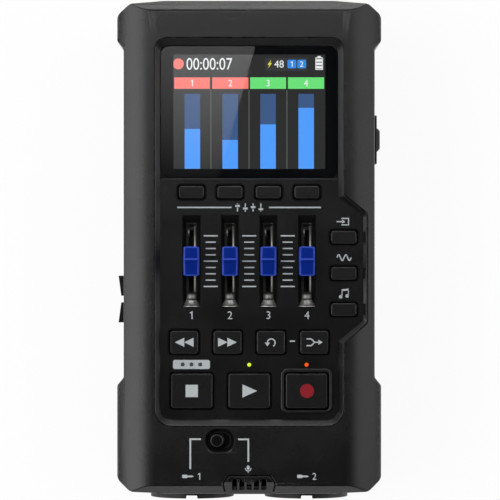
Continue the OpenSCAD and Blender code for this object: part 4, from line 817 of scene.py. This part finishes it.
class LightDisplay(bpy.types.Operator):
    """Fits the display window and draws the picture behind it"""

    bl_idname = "recorder.light_display"
    bl_label = "Display"

    def execute(self, context):
        colours, sizes, _ = settings()
        look = finishes()
        dressed("display_window", look["window_glass"], sizes.window_edge)
        layer_depth = 0.02 * MM
        base = top_of("display_module") + layer_depth
        screen, screen_w, screen_h = (0.05, 41.3), 45.0, 33.9
        bar_top, bar_foot, bar_w = 46.6, 24.4, 4.6
        tab_y, tab_h = 49.8, 3.4
        # For each track: the middle and width of its tab, and the middle and level of its bar
        tabs = [(-16.95, 10.6), (-5.6, 10.75), (5.6, 10.65), (16.85, 10.7)]
        bars = [(-16.85, 36.2), (-5.65, 32.95), (5.6, 37.55), (16.9, 42.45)]

        def draw(name, outlines, layer, colour):
            pixels = lit(f"display_pixels_{name}", colour, 1.22)
            z = base + 2 * layer * layer_depth
            marks(f"display.{name}", outlines, z, "case", pixels, "display", layer_depth)

        def bar(x, foot, top):
            return plate((x, (foot + top) / 2), bar_w, top - foot)

        low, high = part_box("display_window")
        wide, long = (high.x - low.x) / MM - 0.2, (high.y - low.y) / MM - 0.2
        outer = plate(middle_of("display_window"), wide, long, 2.4)
        inner = plate(screen, screen_w, screen_h, 0.05)
        marks("display.mask", frame_of(outer, inner), low.z + layer_depth, "case", look["mask_ink"],
              "display", layer_depth)
        draw("field", [plate(screen, screen_w + 0.2, screen_h + 0.2)], 0, "#303030")
        draw("rules", [plate((x, 36.0), 0.22, 23.4) for x in (-11.35, -0.05, 11.2)], 1, "#686868")
        draw("patch", [plate((10.95, 55.35), 12.5, 3.9, 0.3)], 1, "#3b3b3c")
        tab = [plate((x, tab_y), w, tab_h) for x, w in tabs]
        draw("armed", tab[:2] + [disc((-21.0, 55.5), 1.62)], 1, colours.armed)
        draw("ready", tab[2:], 1, colours.ready)
        draw("room", [bar(x, level, bar_top) for x, level in bars], 1, "#415c86")
        draw("level", [bar(x, bar_foot, level) for x, level in bars], 1, colours.level)
        badges = [(12.65, 55.45), (15.55, 55.45)]
        draw("badges", [plate(place, 2.6, 2.55, 0.4) for place in badges], 2, "#3c8be0")
        white = flat_letters("00:00:07", 3.5, (-11.8, 55.5), 0.8)
        white += flat_letters("48", 2.15, (8.85, 55.45), 0.95)
        for number, place in zip("12", badges):
            white += figure(number, 1.6, place)
        for number, (x, _) in zip("1234", tabs):
            white += figure(number, 1.9, (x, tab_y))
        # A battery: its stud, three bars and its outline
        white += [plate((20.75, 57.6), 1.0, 0.4)]
        white += [plate((20.75, y), 1.7, 0.72) for y in (56.5, 55.5, 54.5)]
        outline = [(19.75, 57.25), (21.75, 57.25), (21.75, 53.85), (19.75, 53.85), (19.75, 57.4)]
        white += [stroke(outline, 0.22)]
        draw("white", white, 3, "#f4f5f4")
        spark = [(6.5, 56.75), (5.45, 55.2), (6.0, 55.2), (5.6, 54.15), (6.75, 55.75), (6.2, 55.75)]
        draw("spark", [spark], 3, "#e8e04a")
        return {"FINISHED"}


class PrintMarks(bpy.types.Operator):
    """Prints the scales, figures and symbols"""

    bl_idname = "recorder.print_marks"
    bl_label = "Printed marks"

    def execute(self, context):
        look = finishes()
        self.print_panel(look)
        self.print_front(look)
        self.print_keys(look)
        return {"FINISHED"}

    def print_panel(self, look):
        """The scales, figures and symbols on the panel, its label and the painted shade round its keys."""
        z = broad_face("control_panel") + PRINT_GAP
        rule_y, thin = 12.9, 0.34
        panel = [plate((-13.25, rule_y), 16.1, 0.42), plate((13.56, rule_y), 15.4, 0.42)]
        for x in (-11.4, 0.0, 11.4):
            for i in range(9):
                panel.append(plate((x, 4.5 - i * 1.875), 4.15 if i % 4 == 0 else 3.0, 0.38))
        for i in FADERS:
            x, _ = middle_of(f"fader_cap_{i}")
            panel += figure(str(i), 2.3, (x, -19.0))
        panel.append(plate((12.75, -26.7), 1.5, 0.4))
        # Four small faders between the rules, each a cap with a line above and below it
        half, clear = 1.2, 0.44
        for x, d in ((-3.45, 0.45), (-1.15, -0.3), (1.15, 0.1), (3.45, -0.5)):
            panel += [plate((x, rule_y + (d + half + clear) / 2), thin, half - d - clear)]
            panel += [plate((x, rule_y + d), 1.35, 0.58)]
            panel += [plate((x, rule_y + (d - half - clear) / 2), thin, half + d - clear)]
        # An arrow into a box, over the first side key
        panel += [stroke([(27.3, 9.65), (29.4, 9.65), (29.4, 7.75), (27.3, 7.75)], thin)]
        panel += [stroke([(25.9, 8.7), (27.7, 8.7)], thin), [(28.5, 8.7), (27.5, 9.3), (27.5, 8.1)]]
        # A wave of two periods, over the second
        wave = [(26.0 + 4.2 * k / 28, -1.95 + 0.85 * math.sin(2 * math.pi * 2 * k / 28)) for k in range(29)]
        panel += [stroke(wave, thin)]
        # Two joined notes, over the third
        panel += [disc((27.1, -13.55), 0.52), disc((29.0, -13.3), 0.52)]
        panel += [plate((27.5, -12.6), 0.24, 1.9), plate((29.4, -12.35), 0.24, 1.9)]
        panel += [[(27.38, -11.9), (29.52, -11.65), (29.52, -11.1), (27.38, -11.35)]]
        marks("panel.marks", panel, z, "case", look["ink"], "panel_plastic")
        # Painted shade round the keys' openings: a ring of the near-black matt plastic round each, except
        # inside the guard
        clear, wall, radius = 0.84, 0.35, 1.2
        painted_shade_rings = []
        for name in KEYS[:-1]:
            shown = [corner.co / MM for corner in frame["nodes"][name].data.vertices if corner.co.z > z]
            middle = middle_of(name)
            wide, long = (2 * max(abs(p[i] - middle[i]) for p in shown) + clear for i in (0, 1))
            outer = plate(middle, wide + 2 * wall, long + 2 * wall, radius + wall)
            painted_shade_rings += frame_of(outer, plate(middle, wide, long, radius))
        marks("panel.rims", painted_shade_rings, z, "case", look["dish_plastic"], "panel_plastic", FILM)
        x, y = -17.1, -33.6
        marks("panel.label", [plate((x, y), 10.95, 2.7, 0.6)], z, "case", look["ink"], "panel_plastic")
        marks("panel.label_dots", [disc((x + d, y), 0.6) for d in (-2.6, 0, 2.6)],
              z + 0.03 * MM, "case", look["ink_dark"], "panel_plastic")

    def print_front(self, look):
        """The lines from the selector to the inputs, and the inputs' symbols."""
        line, symbol_y = 0.5, -66.6
        front = [stroke([(-14.25, -55.6), (-17.4, -55.6), (-17.4, -64.4)], line)]
        front += [stroke([(-3.3, -55.65), (-0.25, -55.65), (-0.25, -62.3)], line)]
        for x, number in ((-17.35, "1"), (16.65, "2")):
            # A plug and the number of its input
            front += [plate((x - 1.7, symbol_y), 1.5, 1.0, 0.2), plate((x - 0.2, symbol_y), 1.5, line)]
            front += [moved([(0.55, line / 2), (0.55, -line / 2), (0.95, 0)], (x, symbol_y))]
            front += figure(number, 2.0, (x + 2.6, symbol_y))
        # A microphone
        x = -0.3
        front += [plate((x, -64.0), 0.85, 1.25, 0.42)]
        front += [stroke(arc((x, -64.15), 0.85, 180, 360, 12), 0.26)]
        front += [plate((x, -65.25), 0.26, 0.5)]
        marks("case.marks", front, top_of("front_shell") + PRINT_GAP, "case", look["ink"], "case_plastic")

    def print_keys(self, look):
        """Symbols on the keys' tops, which move with them."""
        line = 0.36

        def on_key(name, outlines, material=look["ink"]):
            placed = [moved(outline, middle_of(name)) for outline in outlines]
            marks(f"{name}.mark", placed, top_of(name) + PRINT_GAP, name, material, "key_rubber")

        triangle = [(2.8, 1.35), (0, 0), (2.8, -1.35)]
        back = [moved(triangle, (-2.75, 0)), triangle]
        on_key("rewind_key", back)
        on_key("forward_key", [[(-x, y) for x, y in outline] for outline in back])
        turn = arc((0.1, -0.15), 1.15, -60, 180, 18)
        on_key("undo_key", [stroke(turn, line), [(-1.85, -0.1), (-0.25, -0.1), (-1.05, -1.15)]])
        on_key("bounce_key", [
            stroke([(-2.3, 1.0), (-0.9, 1.0), (0.1, 0.0), (1.3, 0.0)], line),
            stroke([(-2.3, -1.0), (-0.9, -1.0), (0.0, -0.1)], line),
            [(2.5, 0.0), (1.2, 0.75), (1.2, -0.75)]])
        on_key("stop_key", [plate((0, 0), 3.65, 3.65)])
        on_key("play_key", [[(-2.0, 1.95), (-2.0, -1.95), (2.35, 0)]])
        on_key("record_key", [disc((0.1, 0), 2.08, 40)], look["ink_red"])


class LayStage(bpy.types.Operator):
    """Lays the floor and sets the lights and the camera"""

    bl_idname = "recorder.lay_stage"
    bl_label = "Stage"

    def execute(self, context):
        _, _, studio = settings()
        scene = context.scene
        scene.view_settings.view_transform = "Standard"
        half, z = 3.0, -0.1 * MM
        floor = [(-half, -half, z), (half, -half, z), (half, half, z), (-half, half, z)]
        self.stage_face("floor", floor, sweep("paper_sweep_white"))
        self.room(scene, studio.ambient)
        # Heading and height in degrees, distance and size in metres
        for name, *place in (
                ("display_end", 90, 10, 1.3, (1.8, 0.3)),
                ("crown", 90, 74, 1.5, (1.1, 0.19)),
                ("left", 180, 48, 1.4, (1.2, 1.0)),
                ("right", 12, 46, 1.4, (1.2, 1.1)),
                ("socket_end", 270, 18, 1.3, (1.8, 0.5)),
                ("low_left", 180, 7, 1.4, (1.2, 0.2)),
                ("low_right", 0, 7, 1.4, (1.2, 0.2))):
            self.softbox(name, *place, getattr(studio, name))
        for heading, share in ((135, 1.0), (45, 0.6), (225, 0.6), (315, 0.4)):
            self.softbox(f"corner_{heading}", heading, 40, 1.5, (0.6, 0.6), studio.corners * share)
        # A card with a slanting edge, clockwise from above, so that it lights what lies below it
        card = [(-0.34, 0.04), (-0.34, 0.34), (0.06, 0.34), (0.0047, 0.151), (-0.0275, 0.04)]
        self.stage_face("card", [(x, y, 1.5) for x, y in card], fading_card("card_lit", studio.overhead))
        # Straight down from a metre above the panel, through a long lens
        camera = bpy.data.objects.new("camera", bpy.data.cameras.new("camera"))
        scene.collection.objects.link(camera)
        camera.location = (0.24 * MM, 0.3 * MM, 1045.5 * MM)
        camera.data.sensor_width = 36
        camera.data.lens = 243.65
        camera.data.clip_start = 0.05
        camera.data.clip_end = 20
        scene.camera = camera
        return {"FINISHED"}

    def stage_face(self, name, corners, material):
        """A flat face of the stage through some corners."""
        mesh = bpy.data.meshes.new(name)
        mesh.from_pydata(corners, [], [range(len(corners))])
        mesh.materials.append(material)
        face = bpy.data.objects.new(name, mesh)
        bpy.context.scene.collection.objects.link(face)

    def room(self, scene, ambient):
        """The faint light that comes from all round."""
        world = bpy.data.worlds.new("room")
        scene.world = world
        world.use_nodes = True
        world.node_tree.nodes.clear()
        light = add_node(world.node_tree, "ShaderNodeBackground", {
            "Color": (1, 1, 1, 1), "Strength": ambient})
        add_node(world.node_tree, "ShaderNodeOutputWorld", {"Surface": light.outputs[0]})

    def softbox(self, name, heading, height, distance, size, brightness):
        """A lit rectangle that faces the recorder from a heading and a height in degrees."""
        lamp = bpy.data.lights.new(name, "AREA")
        lamp.shape = "RECTANGLE"
        lamp.size, lamp.size_y = size
        lamp.energy = brightness * size[0] * size[1] * math.pi
        heading, height = math.radians(heading), math.radians(height)
        across = distance * math.cos(height)
        place = Vector((across * math.cos(heading), across * math.sin(heading), distance * math.sin(height)))
        holder = bpy.data.objects.new(name, lamp)
        bpy.context.scene.collection.objects.link(holder)
        holder.location = place + Vector((0, 0, 40 * MM))
        holder.rotation_euler = (-place).to_track_quat("-Z", "Y").to_euler()


class RecorderPanel(bpy.types.Panel):
    """Lists the recorder's steps, colours, sizes and lights"""

    bl_idname = "VIEW3D_PT_recorder"
    bl_label = "Recorder"
    bl_space_type = "VIEW_3D"
    bl_region_type = "UI"
    bl_category = "Recorder"

    def draw(self, context):
        for step in STEPS:
            self.layout.operator(step.bl_idname)
        for group in settings():
            box = self.layout.box()
            for name in group.__annotations__:
                box.prop(group, name)


STEPS = (DressInside, DressCase, DressPanel, DressControls, LightDisplay, PrintMarks, LayStage)
GROUPS = {
    "recorder_colours": RecorderColours, "recorder_sizes": RecorderSizes, "recorder_studio": RecorderStudio}
CLASSES = (*GROUPS.values(), *STEPS, RecorderPanel)


def register():
    for item in CLASSES:
        bpy.utils.register_class(item)
    for name, group in GROUPS.items():
        setattr(bpy.types.Scene, name, PointerProperty(type=group))


def unregister():
    for name in GROUPS:
        delattr(bpy.types.Scene, name)
    for item in reversed(CLASSES):
        bpy.utils.unregister_class(item)


def main():
    """Dresses the recorder step by step."""
    register()
    bpy.ops.recorder.dress_inside()
    bpy.ops.recorder.dress_case()
    bpy.ops.recorder.dress_panel()
    bpy.ops.recorder.dress_controls()
    bpy.ops.recorder.light_display()
    bpy.ops.recorder.print_marks()
    bpy.ops.recorder.lay_stage()
    bpy.context.view_layer.update()


if __name__ == "__main__":
    main()
